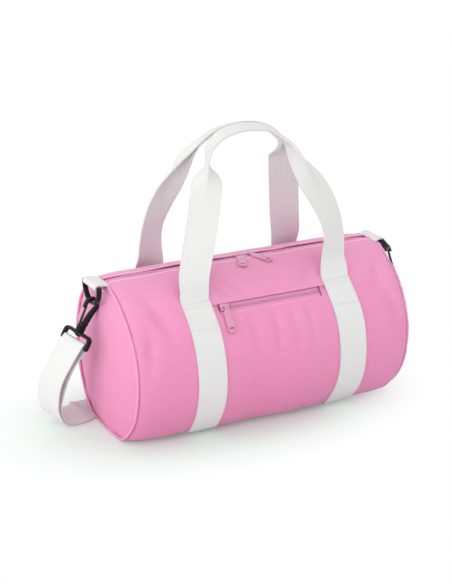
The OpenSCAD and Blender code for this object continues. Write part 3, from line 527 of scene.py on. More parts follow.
panel_sheet = lay([x for x in drum_places if abs(x) <= panel_half],
                  [a for a in drum_angles if panel_foot <= a <= pocket_top + 0.01],
                  panel_point, drum_measure, lambda x, a: not in_pocket_zip(x, a))
face_away(panel_sheet, on_axis(0))
pocket_front = piece(panel_sheet, "pocket_front", bag_fabric, replaces=["pocket_panel"])
thicken(pocket_front, fabric_thickness)

# %% [markdown]
# Each end is a disc of the same fabric that bulges a little. It is gathered at its rim by the
# piping, a strip of fabric folded over a cord, and it has a soft fold under its ring. A squashed
# half sphere would be simpler, but its rim would miss the barrel's. So rays run from the middle
# to the barrel's own edge, and the bulge is added to them.

# %% Ends and piping
rim_angles, disc_radius = between(-90, 270, 2.0), 105

def rim(side, angle):
    return drum(side * half_length, angle if angle <= 90 else angle - 360)

def cap_out(side, share, angle):
    """How far the end stands out past its seam at a share of the way to the rim."""
    turn = math.radians(angle)
    y, z = -share * disc_radius * math.cos(turn), share * disc_radius * math.sin(turn)
    out = 11.0 * (1 - share ** 2.8)
    out += 1.8 * ease(share, 0.1, 0.5) * noise.noise(Vector((y / 38, z / 38, 20.5 * side)))
    round_rim = Vector((8.2 * math.cos(turn), 8.2 * math.sin(turn), 5.5 + 3 * side))
    out += 1.4 * ease(share, 0.75, 0.97) * noise.noise(round_rim)
    upper = ease(z, -20, 30) * (1 - ease(z, 84, 100))
    crease, swell = bell(y, side * -2 - 14 + (88 - z) * 0.10, 9), bell(y, 14, 16)
    return out + 1.2 * (swell - crease) * upper

def cap_point(side, share, angle):
    edge = rim(side, angle)
    middle = Vector((side * half_length, 0, axis_height - 2))
    flat = middle + (edge - middle) * share
    return Vector((flat.x + side * cap_out(side, share, angle), flat.y, max(flat.z, 0.35)))

def disc_measure(angle, share):
    turn = math.radians(angle)
    return share * disc_radius * math.cos(turn), share * disc_radius * math.sin(turn)

def cap_sheet(side):
    shares = between(0, 0.935, 0.055) + [0.965, 0.985, 1.0]
    sheet = lay(rim_angles, shares, lambda a, s: cap_point(side, s, a), disc_measure)
    weld(sheet)
    face_away(sheet, on_axis(0))
    return sheet

def tube_sheet(points, radius, sides=10):
    """A tube that follows points in mm. radius(row) is its radius at each of them."""
    frames, length = [], [0.0]
    for i, here in enumerate(points):
        behind, ahead = points[max(i - 1, 0)], points[min(i + 1, len(points) - 1)]
        along = (ahead - behind).normalized()
        across = along.cross(Vector((1, 0, 0))).normalized()
        frames.append((here, across, along.cross(across)))
        length.append(length[-1] + (ahead - here).length)
    def place(turn, row):
        here, across, other = frames[row]
        return here + radius(row) * (math.cos(turn) * across + math.sin(turn) * other)
    sheet = lay(between(0, 2 * math.pi, 2 * math.pi / sides), list(range(len(points))), place,
                lambda turn, row: (turn * 2, length[row]))
    weld(sheet)
    return close_ends(sheet)

piping_radius, tab_half_width = 1.6, 19.0
for side, word in ((-1, "left"), (1, "right")):
    cap = piece(cap_sheet(side), word + "_end", bag_fabric, replaces=[word + "_end_panel"])
    thicken(cap, fabric_thickness)
    gap = math.degrees(math.asin((tab_half_width + 0.6) / end_radius))
    seam = []
    for angle in between(90 + gap, 450 - gap, 1.6):
        turned = angle - 360 if angle > 270 else angle
        edge = rim(side, turned)
        spot = edge + (on_axis(edge.x) - edge).normalized() * 0.9
        seam.append(Vector((edge.x + side * 2.0, spot.y, max(spot.z, piping_radius + 0.2))))
    def gathers(row):
        return piping_radius + 0.18 * noise.noise(Vector((row / 2.3, side, 0)))
    piece(tube_sheet(seam, gathers), word + "_piping_cord", piping_fabric,
          replaces=[word + "_piping"])

# %% [markdown]
# A key is a row of numbers for one place along a strap: where its middle is, which way its width
# lies, and for a handle how far it is folded and twisted. A curve object with a flat profile could
# follow such a path, but it turns over by itself and can't fold. So a smooth curve is worked out
# through the keys, and the flat sheet is laid along it.

# %% Webbing along keys
web_half, web_thickness, floor_clearance = 19.0, 1.8, 0.1

def curve(keys, spacing):
    """Rows on a smooth curve through the keys, about a spacing apart in mm."""
    gaps = [max(0.01, (Vector(b[:3]) - Vector(a[:3])).length) for a, b in zip(keys, keys[1:])]
    slopes = [[(b - a) / gaps[0] for a, b in zip(keys[0], keys[1])]]
    for i in range(1, len(keys) - 1):
        before, after = gaps[i - 1], gaps[i]
        slopes.append([((c - b) / after * before + (b - a) / before * after) / (before + after)
                       for a, b, c in zip(keys[i - 1], keys[i], keys[i + 1])])
    slopes.append([(b - a) / gaps[-1] for a, b in zip(keys[-2], keys[-1])])
    rows = []
    for i, gap in enumerate(gaps):
        for t in between(0, 1, min(0.5, spacing / gap))[:-1]:
            rows.append([(2 * t ** 3 - 3 * t ** 2 + 1) * a + (t ** 3 - 2 * t ** 2 + t) * gap * leave
                         + (3 * t ** 2 - 2 * t ** 3) * b + (t ** 3 - t ** 2) * gap * arrive
                         for a, b, leave, arrive in zip(keys[i], keys[i + 1], slopes[i], slopes[i + 1])])
    return rows + [list(keys[-1])]

def fold_section(s, fold):
    """A point of the webbing's section: s is the way across it, and fold 1 folds it in half."""
    bend = 1.7
    turn = math.radians(90) * min(1.0, max(fold, 0.0))
    if turn < 0.01:
        return s, 0.0
    def reach(t):
        if t <= bend:
            return bend / turn * math.sin(turn * t / bend), bend / turn * (1 - math.cos(turn * t / bend))
        p, q = reach(bend)
        return p + (t - bend) * math.cos(turn), q + (t - bend) * math.sin(turn)
    p, q = reach(abs(s))
    return math.copysign(p, s), reach(web_half)[1] / 2 - q

def ribbon_sheet(rows, across_values, foldable=False):
    """Webbing through rows of middle, width direction and, if foldable, fold and twist in degrees.
    Where it would sink into the floor it is lifted."""
    frames, length = [], [0.0]
    for i, row in enumerate(rows):
        here = Vector(row[:3])
        along = (Vector(rows[min(i + 1, len(rows) - 1)][:3]) - Vector(rows[max(i - 1, 0)][:3])).normalized()
        across = Vector(row[3:6])
        across = (across - along * across.dot(along)).normalized()
        if foldable and row[7]:
            across = Matrix.Rotation(math.radians(row[7]), 3, along) @ across
        out = across.cross(along)
        low = here.z - abs(across.z) * web_half - abs(out.z) * web_thickness / 2
        here.z += max(0.0, floor_clearance - low)
        frames.append((here, across, out))
        if i:
            length.append(length[-1] + (here - Vector(rows[i - 1][:3])).length)
    def place(s, row):
        here, across, out = frames[row]
        p, q = fold_section(s, rows[row][6]) if foldable else (s, 0.0)
        return here + across * p + out * q
    sheet = lay(across_values, list(range(len(rows))), place, lambda s, row: (s, length[row]))
    bmesh.ops.recalc_face_normals(sheet, faces=sheet.faces[:])
    print("webbing length", round(length[-1]), "mm")
    return sheet

# %% [markdown]
# One length of webbing runs round the bag under each pair of handles' feet. A ring cut from a
# cylinder would float over the sagging fabric, so each corner asks the drum for its place. The
# webbing keeps 0.2 mm off the fabric, so that the two never cut into each other, and it wanders a
# few millimetres, as straps do that are guided under a machine by hand.

# %% Body straps
handle_foot_angle, strap_gap = 50.0, 0.2
strap_middles = {"left": ((-230, -97), (-180, -96.5), (-90, -95.5), (-40, -94.5), (20, -97.5), (50, -99)),
                 "right": ((-230, 101), (-180, 101), (-90, 101), (-20, 103.5), (10, 102), (50, 99))}
web_across = [-19, -18.6, -17.6, -14, -10, -5, 0, 5, 10, 14, 17.6, 18.6, 19]

def read_keys(keys, t):
    """Eases from one (place, value) key to the next."""
    for (low, a), (high, b) in zip(keys, keys[1:]):
        if t <= high:
            return a + (b - a) * ease(t, low, high)
    return keys[-1][1]

def strap_point(word, s, angle, lift):
    return on_drum(read_keys(strap_middles[word], angle) + s, angle, lift)

for word in ("left", "right"):
    sheet = lay(web_across, between(-180 - handle_foot_angle, handle_foot_angle, 1.6),
                lambda s, a: strap_point(word, s, a, strap_gap + web_thickness), drum_measure)
    face_away(sheet, on_axis(0))
    strap = piece(sheet, word + "_body_strap", webbing_white, replaces=[word + "_strap"])
    thicken(strap, web_thickness)
    crisp(strap)

# %% [markdown]
# A handle is the same webbing. It leaves the barrel at a stitched line, narrows at a neck where its
# two edges are folded together, and comes down again. A plain arch could be bent by a modifier, but
# the necks and the grip's own lean make it look like webbing, so both handles are keyed row by row.

# %% Handles
handle_spread, handle_rise, grip_depth, hinge_height, hinge_depth = 98.0, 188.0, 10.0, 179.18, 64.07
foot_rows = ((handle_foot_angle, 1.1), (51.6, 1.3))  # angle round the drum and lift off it

# Each row: share of the spread, of the way from grip to hinge and of the rise, the direction
# across the webbing, how far it is folded, and its twist in degrees.
front_shares = [
    (-1.01, 1, 0, 1, 0, 0, 0, 0), (-0.97, 0.89, 0.1, 0.97, -0.2, -0.1, 0, 0),
    (-0.84, 0.66, 0.29, 0.88, -0.42, -0.2, 0, 0), (-0.7, 0.45, 0.53, 0.88, -0.43, -0.18, 0, 0),
    (-0.61, 0.28, 0.71, 0.9, -0.42, -0.1, 0.3, 0), (-0.58, 0.2, 0.79, 0.9, -0.43, 0, 0.92, 0),
    (-0.545, 0.12, 0.85, 0.9, -0.35, -0.15, 1, 3), (-0.5, 0.04, 0.895, 0.85, -0.15, -0.4, 1, 6),
    (-0.38, 0, 0.955, 0.62, 0, -0.78, 1, 9), (-0.13, 0, 1, 0.15, 0, -0.99, 1, 12),
    (0.12, 0, 1, -0.08, 0, -1, 1, 12), (0.36, 0, 0.97, -0.4, 0, -0.9, 1, 10),
    (0.53, 0.03, 0.91, -0.68, 0, -0.7, 1, 8), (0.61, 0.09, 0.865, -0.8, -0.1, -0.5, 0.95, 5),
    (0.7, 0.2, 0.78, -0.85, -0.3, -0.4, 0.75, 2), (0.8, 0.3, 0.68, -0.87, -0.3, -0.35, 0.42, 0),
    (0.9, 0.39, 0.58, -0.87, -0.28, -0.38, 0.12, 0), (1.02, 0.52, 0.45, -0.9, -0.3, -0.28, 0, 0),
    (1.09, 0.63, 0.33, -0.93, -0.35, -0.05, 0, 0), (1.1, 0.74, 0.22, -0.94, -0.33, 0.1, 0, 0),
    (1.05, 0.87, 0.1, -0.97, -0.2, 0.1, 0, 0), (1.01, 1, 0, -1, 0, 0, 0, 0)]
back_shares = [
    (-1.03, 1, 0, 1, 0, 0, 0, 0), (-1, 0.89, 0.1, 0.97, -0.2, -0.1, 0, 0),
    (-0.92, 0.68, 0.26, 0.9, -0.4, -0.15, 0, 0), (-0.84, 0.47, 0.46, 0.89, -0.42, -0.12, 0, 0),
    (-0.77, 0.28, 0.64, 0.9, -0.42, -0.08, 0, 0), (-0.745, 0.2, 0.72, 0.9, -0.43, 0, 0, 0),
    (-0.71, 0.12, 0.79, 0.9, -0.35, -0.15, 0.4, 3), (-0.65, 0.04, 0.85, 0.85, -0.15, -0.4, 0.92, 6),
    (-0.5, 0, 0.93, 0.62, 0, -0.78, 1, 9), (-0.19, 0, 1, 0.15, 0, -0.99, 1, 12),
    (0.1, 0, 1, -0.08, 0, -1, 1, 12), (0.34, 0, 0.97, -0.4, 0, -0.9, 1, 10),
    (0.53, 0.03, 0.91, -0.68, 0, -0.7, 1, 8), (0.62, 0.09, 0.865, -0.8, -0.1, -0.5, 0.95, 5),
    (0.72, 0.2, 0.79, -0.85, -0.3, -0.4, 0.72, 2), (0.8, 0.3, 0.69, -0.87, -0.3, -0.35, 0.36, 0),
    (0.88, 0.41, 0.58, -0.87, -0.28, -0.38, 0.1, 0), (0.97, 0.52, 0.46, -0.9, -0.3, -0.28, 0, 0),
    (1.03, 0.63, 0.34, -0.93, -0.35, -0.05, 0, 0), (1.04, 0.75, 0.22, -0.94, -0.33, 0.1, 0, 0),
    (1.02, 0.87, 0.1, -0.97, -0.2, 0.1, 0, 0), (0.99, 1, 0, -1, 0, 0, 0, 0)]

def handle_rows(shares):
    return [[s[0] * handle_spread, -grip_depth - s[1] * (hinge_depth - grip_depth),
             hinge_height + s[2] * handle_rise] + list(s[3:]) for s in shares]

def turned_round(row):
    return [-row[0], -row[1], row[2], -row[3], -row[4]] + list(row[5:])

def with_feet(rows):
    """Adds rows on the barrel before the first row and after the last one."""
    feet = []
    for row in (rows[0], rows[-1]):
        back = row[1] > 0
        feet.append([list(on_drum(row[0], -180 - a if back else a, lift)) + list(row[3:])
                     for a, lift in foot_rows])
    feet[1].reverse()
    for foot, end, i in ((feet[0], -1, 1), (feet[1], 0, -2)):
        near = [a + (b - a) * 0.4 for a, b in zip(foot[end][:3], rows[i])] + foot[end][3:]
        foot.insert(len(foot) if end else 0, near)
    return feet[0] + [list(r) for r in rows[1:-1]] + feet[1]

fold_across = [-19, -18.6, -17.6, -14, -10, -7, -5, -3.6, -2.7, -2.0, -1.4, -0.8, 0,
               0.8, 1.4, 2.0, 2.7, 3.6, 5, 7, 10, 14, 17.6, 18.6, 19]
for word, rows in (("front", handle_rows(front_shares)),
                   ("back", [turned_round(r) for r in handle_rows(back_shares)])):
    sheet = ribbon_sheet(curve(with_feet(rows), 3.5), fold_across, foldable=True)
    handle = piece(sheet, word + "_carrying_handle", webbing_white, body=None,
                   replaces=[word + "_handle"])
    thicken(handle, web_thickness, 0.0)
    crisp(handle)
    side_y = (-1 if word == "front" else 1) * hinge_depth * mm
    word + "_handle"
    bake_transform(handle)

# %% [markdown]
# A short loop of webbing at each end of the zip is sewn into the top of the end seam. A flat strip
# would cut into the round barrel, so the loop follows it at the seam and straightens towards the
# ring's bar. Its path is drawn once from the side, and the sheet is laid across it.

# %% Ring tabs
bar_height, ring_reach = 193.5, {"left": 15.0, "right": 10.0}
wrap_radius, round_under_tab = 3.25, 2 * end_radius

for side, word in ((-1, "left"), (1, "right")):
    reach = ring_reach[word]
    wrap = [(reach + wrap_radius * math.cos(t), wrap_radius * math.sin(t))
            for t in (math.radians(90 - 22.5 * k) for k in range(9))]
    path = [(-0.6, 1.2), (0.6, 2.5), (2.6, 3.1), (reach * 0.6, wrap_radius)] + wrap
    path += [(reach * 0.75, -wrap_radius), (reach * 0.45 + 1.0, -wrap_radius - 0.2)]
    rows = curve([list(p) for p in path], 0.9)
    def tab_point(s, row):
        out, up = rows[row]
        round_share = 1 - ease(out, 0.0, reach - 2)
        return Vector((side * (half_length + out), s,
                       bar_height + up - round_share * s * s / round_under_tab))
    sheet = lay(web_across, list(range(len(rows))), tab_point, lambda s, row: (s, row * 1.4))
    bmesh.ops.recalc_face_normals(sheet, faces=sheet.faces[:])
    tab = piece(sheet, word + "_tab", webbing_white, replaces=[word + "_ring_tab"])
    thicken(tab, web_thickness, 0.0)
    crisp(tab)

# %% [markdown]
# Moulded parts have no constant section: they are thick where they bear and thin at their tips. A
# curve with a bevel could taper, but only evenly, so these parts are swept. A row gives the middle
# of the section, its half width in the part's own plane and its half thickness across that plane.
# The section is a rectangle with soft corners. Round parts are spun from a profile.

# %% Moulded sweeps
def soft_rectangle(turn, half_width, half_thickness, power=0.45):
    c, s = math.cos(turn), math.sin(turn)
    return (math.copysign(abs(c) ** power, c) * half_width,
            math.copysign(abs(s) ** power, s) * half_thickness)

def sweep(rows, sides=16):
    """A closed bar in the XZ plane through rows of x, z, half width and half thickness along Y."""
    def place(turn, row):
        x, z, half_width, half_thickness = rows[row]
        ahead, behind = rows[min(row + 1, len(rows) - 1)], rows[max(row - 1, 0)]
        along = Vector((ahead[0] - behind[0], 0, ahead[1] - behind[1])).normalized()
        p, q = soft_rectangle(turn, half_width, half_thickness)
        return Vector((x, 0, z)) + Vector((along.z, 0, -along.x)) * p + Vector((0, q, 0))
    shape = lay(between(0, 2 * math.pi, 2 * math.pi / sides), list(range(len(rows))), place)
    weld(shape)
    return close_ends(shape)

def turned_part(profile, sides=32):
    """Spins a profile of (radius, z) pairs about Z into a closed round part."""
    shape = bmesh.new()
    corners = [shape.verts.new(Vector((r, 0, z)) * mm) for r, z in profile]
    edges = [shape.edges.new(pair) for pair in zip(corners, corners[1:])]
    bmesh.ops.spin(shape, geom=corners + edges, cent=(0, 0, 0), axis=(0, 0, 1), angle=2 * math.pi,
                   steps=sides, use_merge=True)
    weld(shape)
    return shape

bar_radius, bar_half = 2.0, 21.0

def round_bar():
    """A bar along X, for the webbing to go round."""
    bar = turned_part([(0, -bar_half), (bar_radius, -bar_half), (bar_radius, bar_half), (0, bar_half)], 16)
    return move(bar, Matrix.Rotation(math.pi / 2, 4, "Y"))

def join(first, *others):
    """Puts several bmeshes into the first one."""
    for other in others:
        mesh = bpy.data.meshes.new("passing")
        other.to_mesh(mesh)
        other.free()
        first.from_mesh(mesh)
        bpy.data.meshes.remove(mesh)
    return first

def move(shape, matrix):
    bmesh.ops.transform(shape, matrix=matrix, verts=shape.verts[:])
    if matrix.determinant() < 0:
        bmesh.ops.reverse_faces(shape, faces=shape.faces[:])
    return shape

# %% [markdown]
# The D-ring is a flat bow with a round bar across its open side. A bent round wire would be the
# quick way, but a moulded ring has flat faces that catch the light, so it is swept with a wide
# section, a little thinner where the hook rides.

# %% D-rings
ring_radius, ring_leg = 21.6, 2.5
ring_swing = {"left": 0.0, "right": 40.0}

def ring_shape():
    rows = [(-ring_radius, 2.1, 0.9, 1.6), (-ring_radius, 1.6, 1.7, 2.8), (-ring_radius, 0, 1.9, 3.0),
            (-ring_radius, -ring_leg, 1.9, 3.1)]
    for t in between(-180 + 7.5, -7.5, 7.5):
        turn, worn = math.radians(t), 1 - ease(abs(t + 90), 16, 34)
        rows.append((ring_radius * math.cos(turn), ring_radius * math.sin(turn) - ring_leg,
                     1.9 - 0.4 * worn, 3.2 - 0.7 * worn))
    rows += [(-x, z, w, t) for x, z, w, t in rows[3::-1]]
    return move(join(sweep(rows), round_bar()), Matrix.Rotation(math.pi / 2, 4, "Z"))

for side, word in ((-1, "left"), (1, "right")):
    hang = Matrix.Rotation(math.radians(-side * ring_swing[word]), 4, "Y")
    place = Matrix.Translation(Vector((side * (half_length + ring_reach[word]), 0, bar_height)) * mm)
    piece(move(ring_shape(), place @ hang), word + "_d_ring", black_plastic,
          body=word + "_ring", replaces=[word + "_ring"])

# %% [markdown]
# The snap hook is one moulding: a shank that curves over into a nose, on a ribbed collar. It turns
# on a pin in its base, and a thin gate springs against the inside of the nose. It could be cut out
# of a flat plate, but its section changes all the way along, so it is swept like the ring, and its
# collar is spun.

# %% Snap hooks
loop_length, base_turn = 52.0, 18.0
hook_lean = {"left": 28.0, "right": 22.0}

def hook_shape():
    crook = 7.55
    rows = [(2.3, -29.4, 4.4, 3.0), (2.3, -28.2, 4.0, 3.3), (2.4, -26.5, 3.7, 3.4), (2.7, -22.5, 3.6, 3.5),
            (3.3, -18.5, 3.5, 3.5), (4.3, -13.5, 3.3, 3.4), (5.7, -8.5, 2.9, 3.3), (6.9, -4.8, 2.6, 3.3)]
    for t in between(-5, 185, 12):
        turn = math.radians(t)
        rows.append((crook * math.cos(turn), crook * math.sin(turn) - 2,
                     2.35 - 0.35 * max(0, t - 90) / 95, 3.25))
    rows += [(-7.95, -4.2, 1.75, 3.2), (-8.3, -6.2, 1.4, 3.0), (-8.35, -8.0, 1.25, 2.8),
             (-8.35, -8.9, 0.8, 2.2)]
    collar = [(0, -28.4), (5.2, -28.4), (5.6, -28.9), (5.6, -30.2)]
    for k in range(4):
        low = -30.2 - k * 1.95
        collar += [(5.35, low - 0.25), (5.35, low - 0.7), (6.1, low - 0.95), (6.1, low - 1.7)]
    collar += [(5.2, -38.0), (2.4, -38.0), (2.4, -42.8), (3.8, -42.8), (3.8, -44.0),
               (3.4, -44.4), (0, -44.4)]
    return join(sweep(rows), turned_part(collar))

def gate_shape():
    rows = [(-4.4, -27.9, 1.0, 2.1), (-4.4, -26.9, 1.15, 2.25), (-4.6, -24.5, 0.85, 2.25),
            (-5.2, -15.5, 0.8, 2.3), (-5.75, -7.2, 0.8, 2.3), (-5.8, -5.6, 0.7, 2.1),
            (-5.8, -5.0, 0.4, 1.6)]
    return sweep(rows)

def hook_place(side, word):
    """The hook's own frame: x towards the bag and z up from the ring's wire."""
    swing = math.radians(ring_swing[word])
    wire = ring_leg + ring_radius
    corner = Vector((-(half_length + ring_reach[word] + wire * math.sin(swing)), 0,
                     bar_height - wire * math.cos(swing))) * mm
    upright = Matrix.Translation(corner) @ Matrix.Rotation(math.radians(hook_lean[word]), 4, "Y")
    return upright if side < 0 else Matrix.Scale(-1, 4, (1, 0, 0)) @ upright

for side, word in ((-1, "left"), (1, "right")):
    place = hook_place(side, word)
    hook = piece(move(hook_shape(), place), word + "_snap_hook", black_plastic,
                 body=word + "_hook", replaces=[word + "_hook"])
    round_edges(hook, 0.3)
    piece(move(gate_shape(), place), word + "_gate", black_plastic,
          body=word + "_hook_gate", replaces=[word + "_hook_gate"])

# %% [markdown]
# The base is a bridge over the webbing with a horn down each side and a bar between the horns. The
# horns stand just outside the strap's edges. It could be one boolean of three blocks, but those
# leave hard corners, so the bridge is one sweep, and the boss and the bar are spun and joined.

# %% Hook bases
def base_shape():
    half_span, top, bend = 21.95, -40.4, 4.5
    rows = [(-half_span, -56.3, 0.9, 1.6), (-half_span, -55.6, 1.7, 2.8),
            (-half_span - 0.1, -53.6, 2.0, 3.6), (-half_span - 0.1, -49, 1.95, 3.6),
            (-half_span, -45.5, 1.95, 3.5)]
    for t in between(180, 90, 15):
        turn = math.radians(t)
        rows.append((-half_span + bend + bend * math.cos(turn), top - bend + bend * math.sin(turn),
                     2.05, 3.5))
    rows += [(-12, top, 2.1, 3.8), (-6, top, 2.1, 5.0), (0, top, 2.1, 5.4)]
    rows += [(-x, z, w, t) for x, z, w, t in rows[-2::-1]]
    boss = turned_part([(0, -38.35), (5.6, -38.35), (6.3, -38.9), (6.3, -41.9), (5.8, -42.5), (0, -42.5)])
    bar = move(round_bar(), Matrix.Translation((0, 0, -loop_length * mm)))
    return move(join(sweep(rows), boss, bar), Matrix.Rotation(math.pi / 2, 4, "Z"))

def base_place(side, word):
    return hook_place(side, word) @ Matrix.Rotation(math.radians(base_turn), 4, "Z")

for side, word in ((-1, "left"), (1, "right")):
    piece(move(base_shape(), base_place(side, word)), word + "_hook_bridge", black_plastic,
          replaces=[word + "_hook_base"])

# %% [markdown]
# The shoulder strap is a single long webbing. It is sewn at both ends, so it isn't a free cord: it
# loops over the left hook's bar, bows out, lies on the floor behind the bag and rises to the right
# hook. Near the hooks it lies back on itself, as it does where it is sewn or threaded back. Letting
# a strip fall in a simulation would be one way to lay it, but its two bows have to hang as they do
# here, so it is keyed like the handles.

# %% Shoulder strap
strap_bow, strap_back, return_gap, strap_lift = {"left": 68.0, "right": 60.0}, 94.0, 8.0, 2.2

# Rows from a hook's bar down: share of the bow, of strap_back and of the bar's height, then the
# direction across the webbing. Rows along the floor: share of half_length, of strap_back, the
# direction across, and how far the adjuster lifts it.
left_drop_shares = [
    (0.82, 0.045, 0.82, -0.27, 0.95, 0.12), (0.975, 0.12, 0.6, -0.27, 0.955, 0),
    (1, 0.22, 0.4, -0.28, 0.95, -0.1), (0.95, 0.3, 0.225, -0.25, 0.96, -0.05),
    (0.82, 0.365, 0.105, -0.2, 0.97, 0.05), (0.66, 0.405, 0.05, -0.1, 0.98, 0.12),
    (0.47, 0.43, 0, 0.05, 0.96, 0.24), (0.27, 0.46, 0, 0.14, 0.94, 0.28),
    (0.12, 0.545, 0, -0.08, 0.96, 0.21)]
right_drop_shares = [
    (0.88, 0.03, 0.82, 0.28, 0.95, 0.12), (1, 0.12, 0.6, 0.22, 0.97, 0),
    (0.99, 0.24, 0.38, 0.18, 0.98, -0.08), (0.88, 0.34, 0.2, 0.15, 0.98, -0.02),
    (0.68, 0.42, 0.09, 0.1, 0.98, 0.08), (0.45, 0.47, 0.045, 0, 0.97, 0.16),
    (0.24, 0.51, 0, -0.05, 0.96, 0.2), (0.08, 0.58, 0, 0.05, 0.96, 0.18)]
floor_shares = [
    (-0.965, 0.66, -0.2, 0.97, 0.12, 0), (-0.86, 0.74, -0.18, 0.98, 0.06, 0),
    (-0.72, 0.84, -0.14, 0.99, 0.02, 0), (-0.56, 0.93, -0.1, 0.99, 0, 0.5), (-0.42, 1, 0, 1, 0, 1),
    (-0.28, 1, 0, 1, 0, 1), (0, 1, 0, 1, 0, 1), (0.28, 1, 0, 1, 0, 1), (0.42, 1, 0, 1, 0, 1),
    (0.56, 0.93, 0.1, 0.99, 0, 0.5), (0.72, 0.84, 0.14, 0.99, 0.02, 0), (0.86, 0.74, 0.18, 0.98, 0.06, 0),
    (0.965, 0.66, 0.18, 0.97, 0.12, 0)]
return_shares = {"left": (0.85, 1, 0.8, 0.45, 0.3, 0.27, 0.27, 0.27, 0.27), "right": (0.6, 0.27)}

def lying_height(tilt):
    """Height of the webbing's middle where its lower edge lies on the floor."""
    return floor_clearance + web_thickness / 2 + abs(tilt) * web_half

def hook_end(side, word):
    """Rows round the base's bar, and down from it."""
    base = base_place(side, word)
    across = base.to_3x3() @ Vector((0, 1, 0))
    radius = bar_radius + 0.3 + web_thickness / 2
    loop = []
    for t in between(0, math.pi, math.pi / 4):
        spot = base @ (Vector((radius * math.cos(t), 0, -loop_length + radius * math.sin(t))) * mm) / mm
        loop.append(list(spot) + list(across))
    bar = (base @ Vector((0, 0, -loop_length * mm)) / mm).z
    shares = left_drop_shares if side < 0 else right_drop_shares
    down = [[side * (half_length + s[0] * strap_bow[word]), s[1] * strap_back,
             max(s[2] * bar, lying_height(s[5]))] + list(s[3:]) for s in shares]
    return loop, down

def second_layer(side, down, shares):
    """The same rows moved off the webbing towards the bag."""
    layer = []
    for i, share in enumerate(shares):
        along = Vector(down[min(i + 1, len(down) - 1)][:3]) - Vector(down[max(i - 1, 0)][:3])
        off = -side * return_gap * share * along.cross(Vector(down[i][3:])).normalized()
        layer.append(list(Vector(down[i][:3]) + off) + down[i][3:])
    return layer

loop_left, down_left = hook_end(-1, "left")
loop_right, down_right = hook_end(1, "right")
along_floor = [[s[0] * half_length, s[1] * strap_back, lying_height(s[4]) + s[5] * strap_lift]
               + list(s[2:5]) for s in floor_shares]
strap_path = (second_layer(-1, down_left, return_shares["left"])[::-1] + loop_left + down_left + along_floor
              + down_right[::-1] + loop_right[::-1] + second_layer(1, down_right, return_shares["right"]))
shoulder = piece(ribbon_sheet(curve(strap_path, 4.5), web_across), "shoulder_webbing",
                 webbing_white, replaces=["shoulder_strap"])
thicken(shoulder, web_thickness, 0.0)
crisp(shoulder)

# %% [markdown]
# Both zips are two woven tapes with a row of coil teeth on each. The tapes lie under the fabric's
# folded edges. They could follow every crease of the fabric, but a slider has to run along them,
# so they are laid straight, at an even depth below the plain drum.

# %% Zip tapes
slit, tape_thickness, tape_depth = 0.8, 0.6, 1.75
slit_angle = math.degrees(slit / 2 / drum_radius)

def bare(x, angle, depth):
    """A point under the fabric, measured from the drum without folds or lips."""
    turn, radius = math.radians(angle), plain_radius(x) - depth
    return Vector((x, -radius * math.cos(turn), axis_height + radius * math.sin(turn)))

def zip_tape_piece(zip_name, word, half, low, high):
    """A tape that reaches half its length each way, between two angles round the drum."""
    sheet = lay(between(-half, half, 4), between(low, high, 0.8), lambda x, a: bare(x, a, tape_depth),
                drum_measure)
    face_away(sheet, on_axis(0))
    tape = piece(sheet, zip_name + "_tape_" + word, zip_tape,
                 replaces=[zip_name + "_zip_tape_" + word])
    thicken(tape, tape_thickness)

main_open, main_edge, pocket_open, pocket_edge = 2.4 * slit_angle, 7.7, 2 * slit_angle, 5.2
zip_tape_piece("main", "front", 188.2, 90 - main_edge, 90 - main_open)
zip_tape_piece("main", "back", 188.2, 90 + main_open, 90 + main_edge)
zip_tape_piece("pocket", "upper", 73, pocket_angle + pocket_open, pocket_angle + pocket_edge)
zip_tape_piece("pocket", "lower", 73, pocket_angle - pocket_edge, pocket_angle - pocket_open)

# %% [markdown]
# A coil tooth is a small rounded bar across the tape. The pocket's teeth face out and are seen one
# by one, so each is a block with soft edges. Blocks would be wasted on the main zip, whose coil is
# under its tape, so a ribbed strip is enough there.

# %% Zip coils
def small_bar(shape, middle, along, out, half_sizes):
    """Adds one small block to a bmesh. half_sizes are along, across and out, in mm."""
    along, out = along.normalized(), out.normalized()
    turn = Matrix((along, out.cross(along), out)).transposed().to_4x4()
    size = Matrix.Diagonal([2 * mm * h for h in half_sizes] + [1])
    bmesh.ops.create_cube(shape, size=1.0, matrix=Matrix.Translation(middle * mm) @ turn @ size)

tooth_pitch, tooth_row, tooth_depth, tooth_half = 2.6, 1.05, 1.05, (1.25, 0.58, 0.55)

def pocket_teeth(side, shift):
    shape = bmesh.new()
    middle = pocket_angle + side * math.degrees(tooth_row / drum_radius)
    for x in between(-pocket_half + 1.5, pocket_half - 1.5, tooth_pitch):
        here = bare(x + shift, middle, tooth_depth)
        up = bare(x + shift, middle + 1, tooth_depth) - here
        small_bar(shape, here, up, here - on_axis(here.x), tooth_half)
    return shape

for word, side, shift in (("upper", 1, 0.0), ("lower", -1, tooth_pitch / 2)):
    teeth = piece(pocket_teeth(side, shift), "pocket_teeth_" + word, tooth_plastic,
                  replaces=["pocket_zip_coil_" + word])
    round_edges(teeth, 0.25, 1)

coil_rows, coil_middle, coil_depth = between(-188.0, 188.0, 0.75), 1.95, 3.05
for word, side in (("front", 1), ("back", -1)):
    def coil_point(turn, row):
        x, size = coil_rows[row], 1.0 if row % 2 else 0.75
        away = side * (coil_middle + 0.9 * size * math.cos(turn))
        return Vector((x, -away, bare(x, 90, coil_depth).z + 0.6 * size * math.sin(turn)))
    shape = lay(between(0, 2 * math.pi, math.pi / 3), list(range(len(coil_rows))), coil_point)
    weld(shape)
    piece(close_ends(shape), "main_coil_" + word, tooth_plastic,
          replaces=["main_zip_coil_" + word])

